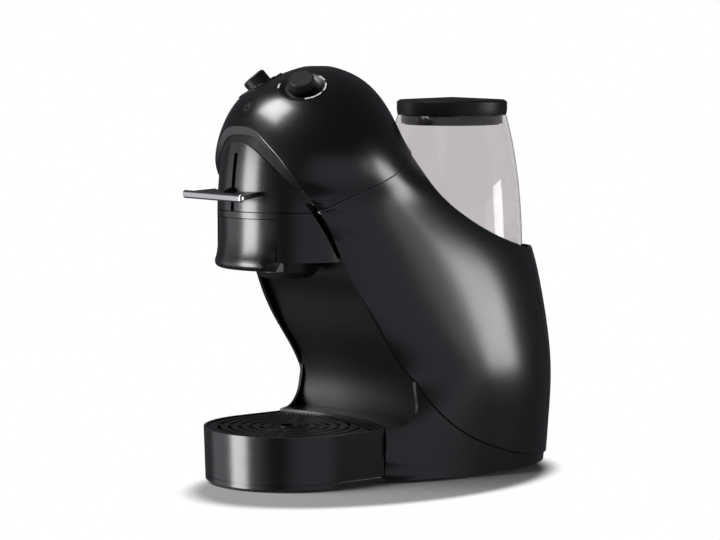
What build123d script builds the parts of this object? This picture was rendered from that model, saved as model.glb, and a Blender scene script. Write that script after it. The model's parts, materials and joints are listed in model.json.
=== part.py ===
from build123d import *
import math
import os

# Covers: one smooth body of horizontal egg sections, split into shells
WALL = 2.5
SEAM = 0.6
CLEAR = 0.4
FIT = 0.05
BODY_HALF_WIDTH = 86.5
BODY_REAR_Y = 148.1
HOOD_HALF_WIDTH = 70.5
HOOD_TOP_Z = 302.0
HOOD_NOSE_Y = -131.0
REAR_FULLNESS = 2.3
BASE_INSET = 1.5

# Side view lines of the covers (y, z)
RIM_TOP = (-124.5, 262.0)
RIM_BROW = (-117.4, 237.0)
RIM_CORNER = (-95.0, 200.0)
EDGE_MIDDLE = (-64.0, 144.0)
EDGE_BEND = (-17.0, 73.0)
HOOD_SEAM_RISE = 0.432
SLOPE_LINE = [(-30.0, 255.0), (-9.0, 237.0), (2.8, 216.0), (29.4, 193.0), (56.3, 179.0), (107.0, 163.5)]
PANEL_FOOT_LINE = [(12.5, 38.0), (48.0, 20.7), (91.0, 10.0)]
REAR_SEAM_FOOT_Y = 116.0
REAR_SEAM_LEAN = 0.07
REAR_FOOT_Z = 8.0
REAR_TOP_Z = 161.0

# Base, floor plate and feet
FLOOR_Z = 2.0
FLOOR_THICKNESS = 2.5
FOOT_RADIUS = 9.0
FOOT_POSITIONS = [(-50.0, -22.0), (50.0, -22.0), (-58.0, 96.0), (58.0, 96.0)]
PILLAR_ARC = 16.0
SCREW_RADIUS = 1.5
SCREW_HEAD_RADIUS = 2.8
SCREW_HEAD_HEIGHT = 1.6
SCREW_SLOT = (3.4, 0.8, 1.4)
BOSS_TOP_Z = 13.0
BOSS_WALL = 3.0
BOSS_X = 71.5
BOSS_Y = [25.0, 62.0]
PLATE_FRONT_GAP = 4.0
FOOT_CHAMFER = 0.5

# Drip tray and grid
TRAY_HALF_WIDTH = 62.5
TRAY_FRONT_Y = -143.0
TRAY_SEAM_Y = -41.0
TRAY_TOP_Z = 40.0
TRAY_DRAFT = 1.2
TRAY_WALL = 2.2
TRAY_REAR_BULGE = 15.0
TRAY_BED_Z = 2.0
TRAY_LINE_Z = 5.2
TRAY_LINE_HEIGHT = 0.9
TRAY_LINE_DEPTH = 0.7
GRID_THICKNESS = 2.6
GRID_DROP = 0.8
GRID_RIM = 7.0
GRID_RINGS = 6
GRID_SLOT = 2.6
GRID_PITCH = 7.6
GRID_CENTRE_Y = -80.0
GRID_SPOKE = 5.0
FINGER_RING_RADIUS = 9.0
FINGER_RING_WALL = 2.4

# Column behind the cup
COLUMN_RECESS = 4.0
COLUMN_SAG = 12.0
COLUMN_FOOT_Z = 41.4
COLUMN_UPRIGHT_Y = -15.0
COLUMN_BEND_LOW_Z = 55.0
COLUMN_BEND_HIGH_Z = 84.0

# Brew head: lever face, shroud, drawer
FACE_AXIS_Y = -74.5
FACE_RADIUS = 56.5
FACE_FOOT_Z = 199.3
STRIP_FOOT_Z = 194.0
SHROUD_FOOT_Z = 163.5
TRIM_WALL = 2.2
TRIM_REACH = 3.5
TRIM_DEPTH = 4.0
FACE_WAIST_Z = 236.0
FACE_WAIST_IN = 3.0
FACE_TOP_Z = 266.0
FACE_TOP_IN = 9.0
SHROUD_REAR_Y = -46.0
WINDOW_DEPTH = 20.0
SLOT_WIDTH = 4.0
SLOT_TOP_Z = 240.7
DRAWER_HALF_WIDTH = 35.0
DRAWER_FOOT_Z = 157.0
DRAWER_RADIUS = 55.8
DRAWER_LIP = 3.0
DRAWER_LIP_Z = 6.0
DRAWER_WAIST = (0.6, 182.0)
DRAWER_CHIN = 2.0
DRAWER_CHIN_Z = 5.0
DRAWER_CHIN_TOP_Z = 8.5
BREW_Y = -82.0
CUP_RADIUS = 23.2
CUP_BORE = 19.5
CUP_FOOT_Z = 154.0
CUP_FLOOR = 2.0
HOLDER_THICKNESS = 4.0
HOLDER_HALF_WIDTH = 32.0
HOLDER_REAR_Y = -50.0
RAIL_FRONT_Y = -107.0
RAIL_RISE = 3.0
SPOUT_FOOT_Z = 149.5
SPOUT_BORE = 5.0
SPOUT_SOCKET = 2.0
SPOUT_TAPER = 4.5
SPOUT_STEP = 0.8
PIERCE_PLATE = 1.2
PIERCE_CIRCLE = 12.0
PIERCE_COUNT = 6
PIERCE_RADIUS = 1.6
PIERCE_TIP = 0.3
PIERCE_HEIGHT = 3.0

# Lever
PIVOT_Y = -74.5
PIVOT_Z = 222.0
PIVOT_RADIUS = 3.0
LEVER_Z = 212.0
LEVER_RISE_DEG = -5.0
LEVER_HALF_WIDTH = 33.8
LEVER_FRONT_Y = -150.0
LEVER_THICKNESS = 3.4
LEVER_FACE_GAP = 2.0
BAR_HEIGHT = 5.8
BAR_ROUND = 1.8
BAR_OVERHANG = 1.5
BAR_DEPTH = 4.0
WEB_THICKNESS = 3.0
LEVER_TAPER = 7.0
HUB_RADIUS = 7.0
EAR_INNER = 9.0
EAR_OUTER = 13.0
EAR_REACH = 8.0
EAR_ROOT = 6.0
CRANK_ARM = 20.0
CRANK_RADIUS = 2.0
YOKE_INNER = 3.0
YOKE_OUTER = 8.0
YOKE_PLATE = 3.0
YOKE_FRONT = 8.0
YOKE_REAR = 7.0
YOKE_RISE = 6.0
YOKE_SLOT = 4.0
PLUNGER_RADIUS = 18.0
PLUNGER_FOOT_Z = 174.0
PLUNGER_LENGTH = 16.2
PLUNGER_NECK_RADIUS = 6.0
SEAL_FOOT_Z = 183.0
SEAL_HEIGHT = 3.0
SEAL_DEPTH = 2.0
NEEDLE_RADIUS = 1.2
NEEDLE_BORE = 0.5
NEEDLE_FOOT_Z = 171.5
NEEDLE_GRIP = 9.0
BLOCK_RADIUS = 29.0
BLOCK_FOOT_Z = 180.0
BLOCK_TOP_Z = 199.0
SHELF_FRONT_Y = -57.0
SHELF_HALF_WIDTH = 24.0

# Dials and power button on the hood
DIAL_CENTRE = (23.95, -85.95, 286.1)
DIAL_AXIS = (0.46, -0.457, 0.76)
BEZEL_RADIUS = 17.8
BEZEL_DEPTH = 4.0
BEZEL_RIM = 1.2
BEZEL_RISE = 0.8
BEZEL_DISH = 1.4
COLLAR_RADIUS = 12.8
COLLAR_SLOPE = 0.6
COLLAR_RISE = 1.4
COLLAR_GAP = 0.6
KNOB_RADIUS = 9.1
KNOB_HEIGHT = 10.5
KNOB_SINK = 1.6
KNOB_CHAMFER = 1.0
DIAL_SHAFT_RADIUS = 3.0
DIAL_SHAFT_LENGTH = 10.0
POT_RADIUS = 8.0
POT_DEPTH = 12.0
BUTTON_CENTRE = (0.0, -117.5, 273.0)
BUTTON_AXIS = (0.0, -0.77, 0.64)
BUTTON_RADIUS = 7.0
BUTTON_DEPTH = 3.0
BUTTON_STEM = 5.0
BUTTON_STEM_RADIUS = 2.4
BUTTON_SPRING_RADIUS = 4.6
BUTTON_SPRING_WALL = 1.2
BUTTON_TRAVEL = 1.5
SWITCH_WALL = 2.0
SWITCH_FLOOR = 4.0

# Water tank, lid, valve and bay
TANK_Y = 76.7
TANK_PROFILE = [(52.0, 95.0), (54.0, 165.0), (50.2, 220.0), (41.5, 264.0)]
TANK_WALL = 2.4
TANK_FLOOR = 3.0
LID_RADIUS = 41.5
LID_HEIGHT = 13.0
LID_CROWN = 2.0
LID_FLARE = 0.6
LID_EDGE = 3.0
PLUG_GAP = 0.4
PLUG_DEPTH = 8.0
PLUG_WALL = 2.5
SEAL_LENGTH = 6.0
BAY_GAP = 1.4
BAY_WALL = 1.8
BAY_RIB_HEIGHT = 16.0
DECK_DROP = 4.0
NECK_STATION = 9
NECK_FRONT_Y = -15.0
NECK_TOP_Z = 246.0
NECK_LENGTH = 56.0
VALVE_RADIUS = 7.0
VALVE_BORE = 4.0
VALVE_LENGTH = 10.0
VALVE_FLANGE = 3.0
VALVE_FLANGE_HEIGHT = 2.0
POPPET_LIP = 2.0
POPPET_HEAD = 3.0
SPRING_LENGTH = 12.0
SPRING_WALL = 1.0
CAGE_WALL = 1.6
CAGE_SLOT = 3.0
SOCKET_RADIUS = 10.0
SOCKET_LENGTH = 20.0
SOCKET_FLOOR = 6.0
SOCKET_FLANGE = 3.0

# Inside
CHASSIS_Y = 5.0
CHASSIS_HALF_WIDTH = 45.0
PLATE = 2.5
BOILER_SIZE = (56.0, 30.0, 60.0)
BOILER_FOOT_Z = 124.0
HEATER_RADIUS = 4.0
HEATER_Z = 14.0
HEATER_END = 7.0
THERMOSTAT_RADIUS = 8.0
THERMOSTAT_DEPTH = 6.0
THERMOSTAT_Z = 44.0
BOARD_FOOT_Z = 112.0
BOARD_SIZE = (62.0, 62.0)
BOARD_THICKNESS = 1.6
BOARD_PARTS = [(-16.0, 20.0, 14.0, 14.0), (10.0, 38.0, 20.0, 10.0), (14.0, 14.0, 10.0, 12.0)]
BOARD_PART_HEIGHT = 2.4
STANDOFF_RADIUS = 2.5
STANDOFF_LENGTH = 3.0
STANDOFF_X = 26.0
STANDOFF_RISES = [6.0, 56.0]
PUMP_RADIUS = 19.0
PUMP_LENGTH = 76.0
PUMP_Z = 40.0
MOUNT_HALF_WIDTH = 14.0
MOUNT_DEPTH = 10.0
MOUNT_INSET = 4.0
MOUNT_DROP = 8.0
METER_RADIUS = 13.0
METER_X = -45.0
METER_DROP = 10.0
METER_RISE = 6.0
METER_POST = 4.0
HOSE_RADIUS = 3.5
HOSE_BORE = 2.0
HOSE_BEND = 8.0
HOSE_RUN = 9.0
HOSE_WAY_Z = 100.0
HOSE_RISE_GAP = 6.0
PUMP_HOSE_DROP = 4.0
GLAND_RADIUS = 7.0
GLAND_BORE = 4.0
GLAND_Z = 26.0
GLAND_Y = 143.1
GLAND_LENGTH = 14.0
GLAND_FLANGE = 3.0

FAR = 260.0
TANK_FOOT_Z = TANK_PROFILE[0][1]
TANK_TOP_Z = TANK_PROFILE[-1][1]
TANK_RADIUS = TANK_PROFILE[1][0]
BAY_RADIUS = TANK_RADIUS + BAY_GAP
BAY_FLOOR_Z = TANK_FOOT_Z - CLEAR - BAY_WALL
FLOOR_TOP_Z = FLOOR_Z + FLOOR_THICKNESS
SHROUD_FLOOR_Z = SHROUD_FOOT_Z + WALL
HOLDER_FOOT_Z = SHROUD_FLOOR_Z + CLEAR
HOLDER_TOP_Z = HOLDER_FOOT_Z + HOLDER_THICKNESS

# height, half width, widest y, front y, rear y, fullness of the rear curve
STATIONS = [
    (0, BODY_HALF_WIDTH - 3.5, 48, -93, BODY_REAR_Y - 5, REAR_FULLNESS),
    (20, BODY_HALF_WIDTH - 2.3, 48, -90, BODY_REAR_Y - 3, REAR_FULLNESS),
    (40, BODY_HALF_WIDTH - 1.2, 48, -88, BODY_REAR_Y - 1.5, REAR_FULLNESS),
    (74, BODY_HALF_WIDTH, 45, -60, BODY_REAR_Y, REAR_FULLNESS),
    (106, BODY_HALF_WIDTH - 3.2, 38, -86, BODY_REAR_Y - 1, REAR_FULLNESS),
    (144, BODY_HALF_WIDTH - 7.5, 22, -109, BODY_REAR_Y - 6, REAR_FULLNESS),
    (175, BODY_HALF_WIDTH - 11.5, 2, -122, BODY_REAR_Y - 15, 2.2),
    (205, HOOD_HALF_WIDTH, -30, HOOD_NOSE_Y, 95, 2.1),
    (230, HOOD_HALF_WIDTH, -54, HOOD_NOSE_Y, 30, 2.0),
    (250, HOOD_HALF_WIDTH - 3, -60, HOOD_NOSE_Y + 3.5, 8, 2.0),
    (268, HOOD_HALF_WIDTH - 11.5, -60, HOOD_NOSE_Y + 10.5, -1.5, 2.0),
    (283, HOOD_HALF_WIDTH - 23.5, -58, HOOD_NOSE_Y + 23, -11.5, 2.0),
    (HOOD_TOP_Z - 8, HOOD_HALF_WIDTH - 39, -55, HOOD_NOSE_Y + 45, -24, 2.0),
    (HOOD_TOP_Z - 2, HOOD_HALF_WIDTH - 54.5, -53, HOOD_NOSE_Y + 61.5, -37, 2.0),
]
CROWN_STATION = (HOOD_TOP_Z, 6.0, -52.5, -58.5, -46.5, 2.0)


def egg_edges(station, inset):
    # Four quarter curves of one horizontal section
    _, half_width, widest, front, rear, fullness = station
    half_width -= inset

    def quarter(side, length, power):
        angles = [k * math.pi / 8 for k in range(1, 4)]
        points = [(side * half_width, widest)]
        for angle in angles:
            x = side * half_width * math.cos(angle) ** (2 / power)
            points.append((x, widest + length * math.sin(angle) ** (2 / power)))
        points.append((0, widest + length))
        return Spline(*points, tangents=[(0, math.copysign(1, length)), (-side, 0)])

    rear_length = rear - inset - widest
    front_length = front + inset - widest
    return [quarter(1, rear_length, fullness), quarter(-1, rear_length, fullness),
            quarter(-1, front_length, 2), quarter(1, front_length, 2)]


def egg_face(station, inset):
    return Pos(0, 0, station[0]) * make_face(egg_edges(station, inset))


def egg_body(inset, drop=0.0):
    # The whole body as one solid, inset all round and lowered at the crown
    stations = list(STATIONS)
    if inset == 0:
        stations.append(CROWN_STATION)
    faces = []
    for station in stations:
        lowered = station[0] - drop * (station[0] > 240)
        faces.append(egg_face((lowered,) + station[1:], inset))
    return loft(faces)


def side_prism(edges, half_width=FAR):
    # A side view outline pushed out to both sides
    return extrude(Plane.YZ * make_face(edges), half_width, both=True)


def side_polygon(points, half_width=FAR):
    return side_prism(Polyline(*points, close=True).edges(), half_width)


def disc(radius, foot, top, x=0.0, y=0.0):
    return Pos(x, y, foot) * Cylinder(radius, top - foot, align=(Align.CENTER, Align.CENTER, Align.MIN))


def block(low, high):
    size = [b - a for a, b in zip(low, high)]
    centre = [(a + b) / 2 for a, b in zip(low, high)]
    return Pos(*centre) * Box(*size)


def turned(points, x=0.0, y=0.0):
    # A closed profile of (radius, height) points turned about a vertical axis
    face = Plane.XZ * make_face(Polyline(*points, close=True).edges())
    return Pos(x, y, 0) * revolve(face, Axis.Z)


def along_y(radius, start, end, x, z):
    return Pos(x, (start + end) / 2, z) * Rot(90, 0, 0) * Cylinder(radius, end - start)


def on_axis(centre, direction):
    return Plane(origin=centre, z_dir=direction).location


def only_solid(shape):
    return max(shape.solids(), key=lambda solid: solid.volume)


def hose(points):
    # A hose with its bore along straight runs joined by tangent arcs
    path = FilletPolyline(*points, radius=HOSE_BEND) if len(points) > 2 else Line(*points)
    start = Plane(origin=path @ 0, z_dir=path % 0)
    return sweep(start * Circle(HOSE_RADIUS), path=path) - sweep(start * Circle(HOSE_BORE), path=path)


EDGE_CURVE = Spline(RIM_TOP, RIM_BROW, RIM_CORNER, EDGE_MIDDLE, EDGE_BEND)
SLOPE_CURVE = Spline(*SLOPE_LINE)
FOOT_CURVE = Spline(EDGE_BEND, *PANEL_FOOT_LINE, (REAR_SEAM_FOOT_Y, REAR_FOOT_Z))


def seam_height(y):
    return RIM_CORNER[1] + HOOD_SEAM_RISE * (y - RIM_CORNER[0])


def edge_y(z):
    # Where the front edge of the covers is at one height
    low, high = 0.0, 1.0
    for _ in range(40):
        middle = (low + high) / 2
        if (EDGE_CURVE @ middle).Y > z:
            low = middle
        else:
            high = middle
    return (EDGE_CURVE @ low).X


def behind_edge(shift=0.0):
    # Everything behind the hood rim and the panels' front edge
    top = (RIM_TOP[0] - 4, RIM_TOP[1] + 30)
    lines = [Line(top, RIM_TOP), EDGE_CURVE]
    rest = [EDGE_BEND, (EDGE_BEND[0], -10), (FAR, -10), (FAR, top[1] + 60), (top[0], top[1] + 60), top]
    return Pos(0, shift, 0) * side_prism(lines + Polyline(*rest).edges())


def above_seam(offset):
    points = [(-FAR, seam_height(-FAR) + offset), (FAR, seam_height(FAR) + offset), (FAR, 400), (-FAR, 400)]
    return side_polygon(points)


def below_slope(drop):
    last = (SLOPE_LINE[-1][0], SLOPE_LINE[-1][1])
    rest = [last, (FAR, REAR_TOP_Z), (FAR, -10), (-FAR, -10), (-FAR, SLOPE_LINE[0][1]), SLOPE_LINE[0]]
    return Pos(0, 0, -drop) * side_prism([SLOPE_CURVE] + Polyline(*rest).edges())


def above_foot(offset):
    end = (REAR_SEAM_FOOT_Y, REAR_FOOT_Z)
    rest = [end, (FAR, REAR_FOOT_Z), (FAR, 400), (-FAR, 400), (-FAR, EDGE_BEND[1]), EDGE_BEND]
    return Pos(0, 0, offset) * side_prism([FOOT_CURVE] + Polyline(*rest).edges())


def behind_rear_seam(offset):
    lean = REAR_SEAM_LEAN * 400
    foot = REAR_SEAM_FOOT_Y + offset
    return side_polygon([(foot, 0), (foot - lean, 400), (FAR, 400), (FAR, 0)])


outer = egg_body(0)
liner = egg_body(WALL + CLEAR, WALL + CLEAR)
shell = outer - egg_body(WALL, WALL)
base_core = egg_body(BASE_INSET + WALL + CLEAR, WALL)

nodes = {}


def dial_place(side):
    x, y, z = DIAL_CENTRE
    return on_axis((side * x, y, z), (side * DIAL_AXIS[0], DIAL_AXIS[1], DIAL_AXIS[2]))


def button_place():
    return on_axis(BUTTON_CENTRE, BUTTON_AXIS)


def make_covers():
    rear_zone = shell & below_slope(0) & above_foot(SEAM)
    panels = (rear_zone & behind_edge()) - above_seam(0) - behind_rear_seam(-SEAM)
    sides = sorted(panels.solids(), key=lambda solid: solid.volume)[-2:]
    nodes["side_panel_left"], nodes["side_panel_right"] = sorted(sides, key=lambda s: s.center().X)
    gland_way = Pos(0, BODY_REAR_Y, GLAND_Z) * Rot(90, 0, 0) * Cylinder(GLAND_RADIUS + FIT, 60)
    nodes["rear_cover"] = only_solid(rear_zone & behind_rear_seam(0)) - gland_way


def make_hood():
    hood = only_solid(shell & behind_edge() & above_seam(SEAM))
    for side in (-1, 1):
        hood -= dial_place(side) * Cylinder(BEZEL_RADIUS + CLEAR / 2, 40)
    hood -= button_place() * Cylinder(BUTTON_RADIUS + CLEAR, 30)
    nodes["hood"] = only_solid(hood)


def trim_zone(gap):
    # The space of the hood and its rim trim, grown by a gap
    core = egg_body(WALL + CLEAR + TRIM_WALL + gap, WALL + CLEAR + TRIM_WALL + gap)
    return (outer - core) & behind_edge(-TRIM_REACH - gap)


def make_head():
    trim = (liner & trim_zone(0) & above_seam(SEAM)) - behind_edge(TRIM_DEPTH)
    nodes["hood_trim"] = only_solid(trim)
    face_points = [(FACE_RADIUS, FACE_FOOT_Z), (FACE_RADIUS - FACE_WAIST_IN, FACE_WAIST_Z),
                   (FACE_RADIUS - FACE_TOP_IN, FACE_TOP_Z)]
    face_line = Spline(*face_points)
    inner_line = Spline(*[(radius - WALL, z) for radius, z in face_points])
    ends = [Line(face_line @ 0, inner_line @ 0), Line(face_line @ 1, inner_line @ 1)]
    face = Pos(0, FACE_AXIS_Y, 0) * revolve(Plane.XZ * make_face([face_line, inner_line] + ends), Axis.Z)
    face &= block((-FAR, -FAR, 0), (FAR, FACE_AXIS_Y, FAR * 2))
    face -= trim_zone(SEAM)
    slot = block((-SLOT_WIDTH / 2, -FAR, FACE_FOOT_Z - 1), (SLOT_WIDTH / 2, FACE_AXIS_Y, SLOT_TOP_Z))
    nodes["lever_fascia"] = only_solid(only_solid(face) - slot)

    top = FACE_FOOT_Z - SEAM
    ring = disc(FACE_RADIUS, SHROUD_FOOT_Z, top, y=FACE_AXIS_Y)
    ring -= disc(FACE_RADIUS - WALL, SHROUD_FOOT_Z, top, y=FACE_AXIS_Y)
    floor = disc(FACE_RADIUS, SHROUD_FOOT_Z, SHROUD_FLOOR_Z, y=FACE_AXIS_Y)
    way = CUP_RADIUS + 2 * CLEAR
    floor -= disc(way, 0, FAR, y=BREW_Y) + block((-way, -FAR, 0), (way, BREW_Y, FAR))
    shroud = ring + floor
    window = DRAWER_HALF_WIDTH + SEAM
    shroud -= block((-window, -FAR, 0), (window, FACE_AXIS_Y - WINDOW_DEPTH, STRIP_FOOT_Z + SEAM))
    for side in (-1, 1):
        rail = side * (HOLDER_HALF_WIDTH + CLEAR + WALL / 2)
        shroud += block((rail - WALL / 2, RAIL_FRONT_Y, SHROUD_FOOT_Z),
                        (rail + WALL / 2, HOLDER_REAR_Y, HOLDER_TOP_Z + RAIL_RISE))
    shroud &= block((-FAR, -FAR, 0), (FAR, SHROUD_REAR_Y, FAR * 2))
    nodes["brew_shroud"] = only_solid(shroud & liner_front())


def liner_front():
    # The inside of the covers, with the open space in front of their edge
    front = block((-FAR, -FAR, 0), (FAR, FAR, FAR * 2)) - behind_edge(-TRIM_DEPTH)
    return liner + front


def column_y(x):
    radius = (TRAY_HALF_WIDTH ** 2 + COLUMN_SAG ** 2) / (2 * COLUMN_SAG)
    return COLUMN_SAG - radius + math.sqrt(radius ** 2 - x ** 2)


def crescent(front_y, z):
    # A plan view slice of the column: two arcs a wall apart
    wide = BODY_HALF_WIDTH - 8
    start = front_y + COLUMN_RECESS
    points = [(-wide, start + column_y(wide)), (0, start + COLUMN_SAG), (wide, start + column_y(wide))]
    front = ThreePointArc(*points)
    back = Pos(0, WALL, 0) * front
    ends = [Line(front @ 0, back @ 0), Line(front @ 1, back @ 1)]
    return Pos(0, 0, z) * make_face([front, back] + ends)


def column_front(z):
    # Upright at the foot, bending smoothly into the line of the covers' front edge
    if z <= COLUMN_BEND_LOW_Z:
        return COLUMN_UPRIGHT_Y
    if z >= COLUMN_BEND_HIGH_Z:
        return edge_y(z)
    share = (z - COLUMN_BEND_LOW_Z) / (COLUMN_BEND_HIGH_Z - COLUMN_BEND_LOW_Z)
    return COLUMN_UPRIGHT_Y + (edge_y(COLUMN_BEND_HIGH_Z) - COLUMN_UPRIGHT_Y) * share ** 2


def make_column():
    bend = COLUMN_BEND_HIGH_Z - COLUMN_BEND_LOW_Z
    heights = [COLUMN_FOOT_Z, COLUMN_BEND_LOW_Z, COLUMN_BEND_LOW_Z + bend / 3, COLUMN_BEND_LOW_Z + 2 * bend / 3,
               COLUMN_BEND_HIGH_Z, 106, 140, SHROUD_FOOT_Z - CLEAR]
    column = loft([crescent(column_front(z), z) for z in heights])
    upper = column & liner & block((-FAR, -FAR, EDGE_BEND[1]), (FAR, FAR, FAR))
    foot = column & base_core & block((-FAR, -FAR, 0), (FAR, FAR, EDGE_BEND[1]))
    nodes["column_wall"] = only_solid(only_solid(upper) + only_solid(foot))


def tray_outline(grow, z, rear_grow=None):
    # The tray in plan: a round front and a bulged rear, grown all round or less at the rear
    half = TRAY_HALF_WIDTH + grow
    front_y = TRAY_FRONT_Y + TRAY_HALF_WIDTH
    rear = TRAY_SEAM_Y + (grow if rear_grow is None else rear_grow)
    front = ThreePointArc((-half, front_y), (0, front_y - half), (half, front_y))
    back = ThreePointArc((half, rear), (0, rear + TRAY_REAR_BULGE), (-half, rear))
    sides = [Line(front @ 1, back @ 0), Line(back @ 1, front @ 0)]
    return Pos(0, 0, z) * make_face([front, back] + sides)


def tray_column(grow, foot, top):
    return extrude(tray_outline(grow, foot), top - foot)


def make_base():
    seam = EDGE_BEND[0]
    deck_z = COLUMN_FOOT_Z
    arc = ThreePointArc((seam - PILLAR_ARC, deck_z),
                        (seam - PILLAR_ARC + PILLAR_ARC * math.sin(math.pi / 4),
                         deck_z + PILLAR_ARC * (1 - math.cos(math.pi / 4))),
                        (seam, deck_z + PILLAR_ARC))
    front = [(seam - PILLAR_ARC, deck_z), (TRAY_SEAM_Y, deck_z), (TRAY_SEAM_Y, FLOOR_Z), (FAR, FLOOR_Z),
             (FAR, REAR_FOOT_Z), (REAR_SEAM_FOOT_Y, REAR_FOOT_Z)]
    side_view = side_prism([arc, Line(arc @ 1, EDGE_BEND), FOOT_CURVE] + Polyline(*front).edges())
    hull = egg_body(BASE_INSET)
    wall = (hull - egg_body(BASE_INSET + WALL)) & side_view
    deck = hull & block((-FAR, TRAY_SEAM_Y, deck_z - WALL), (FAR, CHASSIS_Y - CLEAR, deck_z))
    bay = tray_column(SEAM + WALL, FLOOR_Z, deck_z) & hull
    bay &= block((-FAR, TRAY_SEAM_Y, FLOOR_Z), (FAR, CHASSIS_Y - CLEAR, deck_z))
    base = wall + deck + bay - tray_column(SEAM, 0, FAR)
    for x, y in base_screw_places():
        base += disc(SCREW_HEAD_RADIUS + BOSS_WALL, FLOOR_TOP_Z, BOSS_TOP_Z, x, y) & hull
        base -= disc(SCREW_RADIUS + FIT, 0, BOSS_TOP_Z - 2, x, y)
    nodes["base_shell"] = only_solid(base)

    plate = base_core & block((-FAR, -FAR, FLOOR_Z), (FAR, FAR, FLOOR_TOP_Z))
    plate -= tray_column(SEAM + WALL + CLEAR, 0, TRAY_TOP_Z)
    plate = only_solid(plate & block((-FAR, TRAY_SEAM_Y + PLATE_FRONT_GAP, 0), (FAR, FAR, TRAY_TOP_Z)))
    screws = []
    for x, y in base_screw_places():
        plate -= disc(SCREW_RADIUS + FIT, 0, BOSS_TOP_Z, x, y)
        plate -= disc(SCREW_HEAD_RADIUS + FIT, 0, FLOOR_Z + SCREW_HEAD_HEIGHT, x, y)
        head = disc(SCREW_HEAD_RADIUS, FLOOR_Z + FIT, FLOOR_Z + SCREW_HEAD_HEIGHT, x, y)
        drive = Pos(x, y, FLOOR_Z) * Box(*SCREW_SLOT)
        screws.append(head + disc(SCREW_RADIUS, FLOOR_Z + SCREW_HEAD_HEIGHT, BOSS_TOP_Z - 4, x, y) - drive)
    nodes["base_plate"] = plate
    nodes["base_screws"] = Compound(screws)
    feet = []
    for x, y in FOOT_POSITIONS:
        foot = disc(FOOT_RADIUS, 0, FLOOR_Z, x, y)
        feet.append(chamfer(foot.edges().sort_by(Axis.Z)[0], FOOT_CHAMFER))
    nodes["rubber_feet"] = Compound(feet)


def base_screw_places():
    return [(side * BOSS_X, y) for side in (-1, 1) for y in BOSS_Y]


def make_tray():
    bin_outer = loft([tray_outline(-TRAY_DRAFT, TRAY_BED_Z, 0), tray_outline(0, TRAY_TOP_Z)])
    line_top = TRAY_LINE_Z + TRAY_LINE_HEIGHT
    line = tray_column(TRAY_DRAFT, TRAY_LINE_Z, line_top)
    bin_outer -= line - tray_column(-TRAY_DRAFT - TRAY_LINE_DEPTH, TRAY_LINE_Z, line_top)
    hollow = loft([tray_outline(-TRAY_DRAFT - TRAY_WALL, TRAY_BED_Z + TRAY_WALL, -TRAY_WALL),
                   tray_outline(-TRAY_WALL, TRAY_TOP_Z + 1)])
    ledge_z = TRAY_TOP_Z - GRID_DROP - GRID_THICKNESS - CLEAR
    ledge = tray_column(-TRAY_WALL, ledge_z - TRAY_WALL, ledge_z) - tray_column(-2 * TRAY_WALL, 0, FAR)
    nodes["drip_tray"] = only_solid(bin_outer - hollow + (ledge & bin_outer))

    foot = TRAY_TOP_Z - GRID_DROP - GRID_THICKNESS
    top = TRAY_TOP_Z - GRID_DROP
    grid = tray_column(-TRAY_WALL - CLEAR, foot, top)
    middle = Pos(0, GRID_CENTRE_Y)
    slots = Sketch()
    for k in range(GRID_RINGS):
        radius = FINGER_RING_RADIUS + GRID_PITCH * (k + 0.6)
        slots += middle * (Circle(radius + GRID_SLOT / 2) - Circle(radius - GRID_SLOT / 2))
    for angle in (45, 135):
        slots -= middle * Rot(0, 0, angle) * Rectangle(4 * TRAY_HALF_WIDTH, GRID_SPOKE)
    cutter = extrude(Pos(0, 0, foot - 1) * slots, GRID_THICKNESS + 2)
    grid -= cutter & tray_column(-GRID_RIM, foot - 1, top + 1)
    grid += disc(FINGER_RING_RADIUS, foot, TRAY_TOP_Z, y=GRID_CENTRE_Y)
    grid -= disc(FINGER_RING_RADIUS - FINGER_RING_WALL, 0, FAR, y=GRID_CENTRE_Y)
    nodes["drip_grid"] = only_solid(grid)


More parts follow.
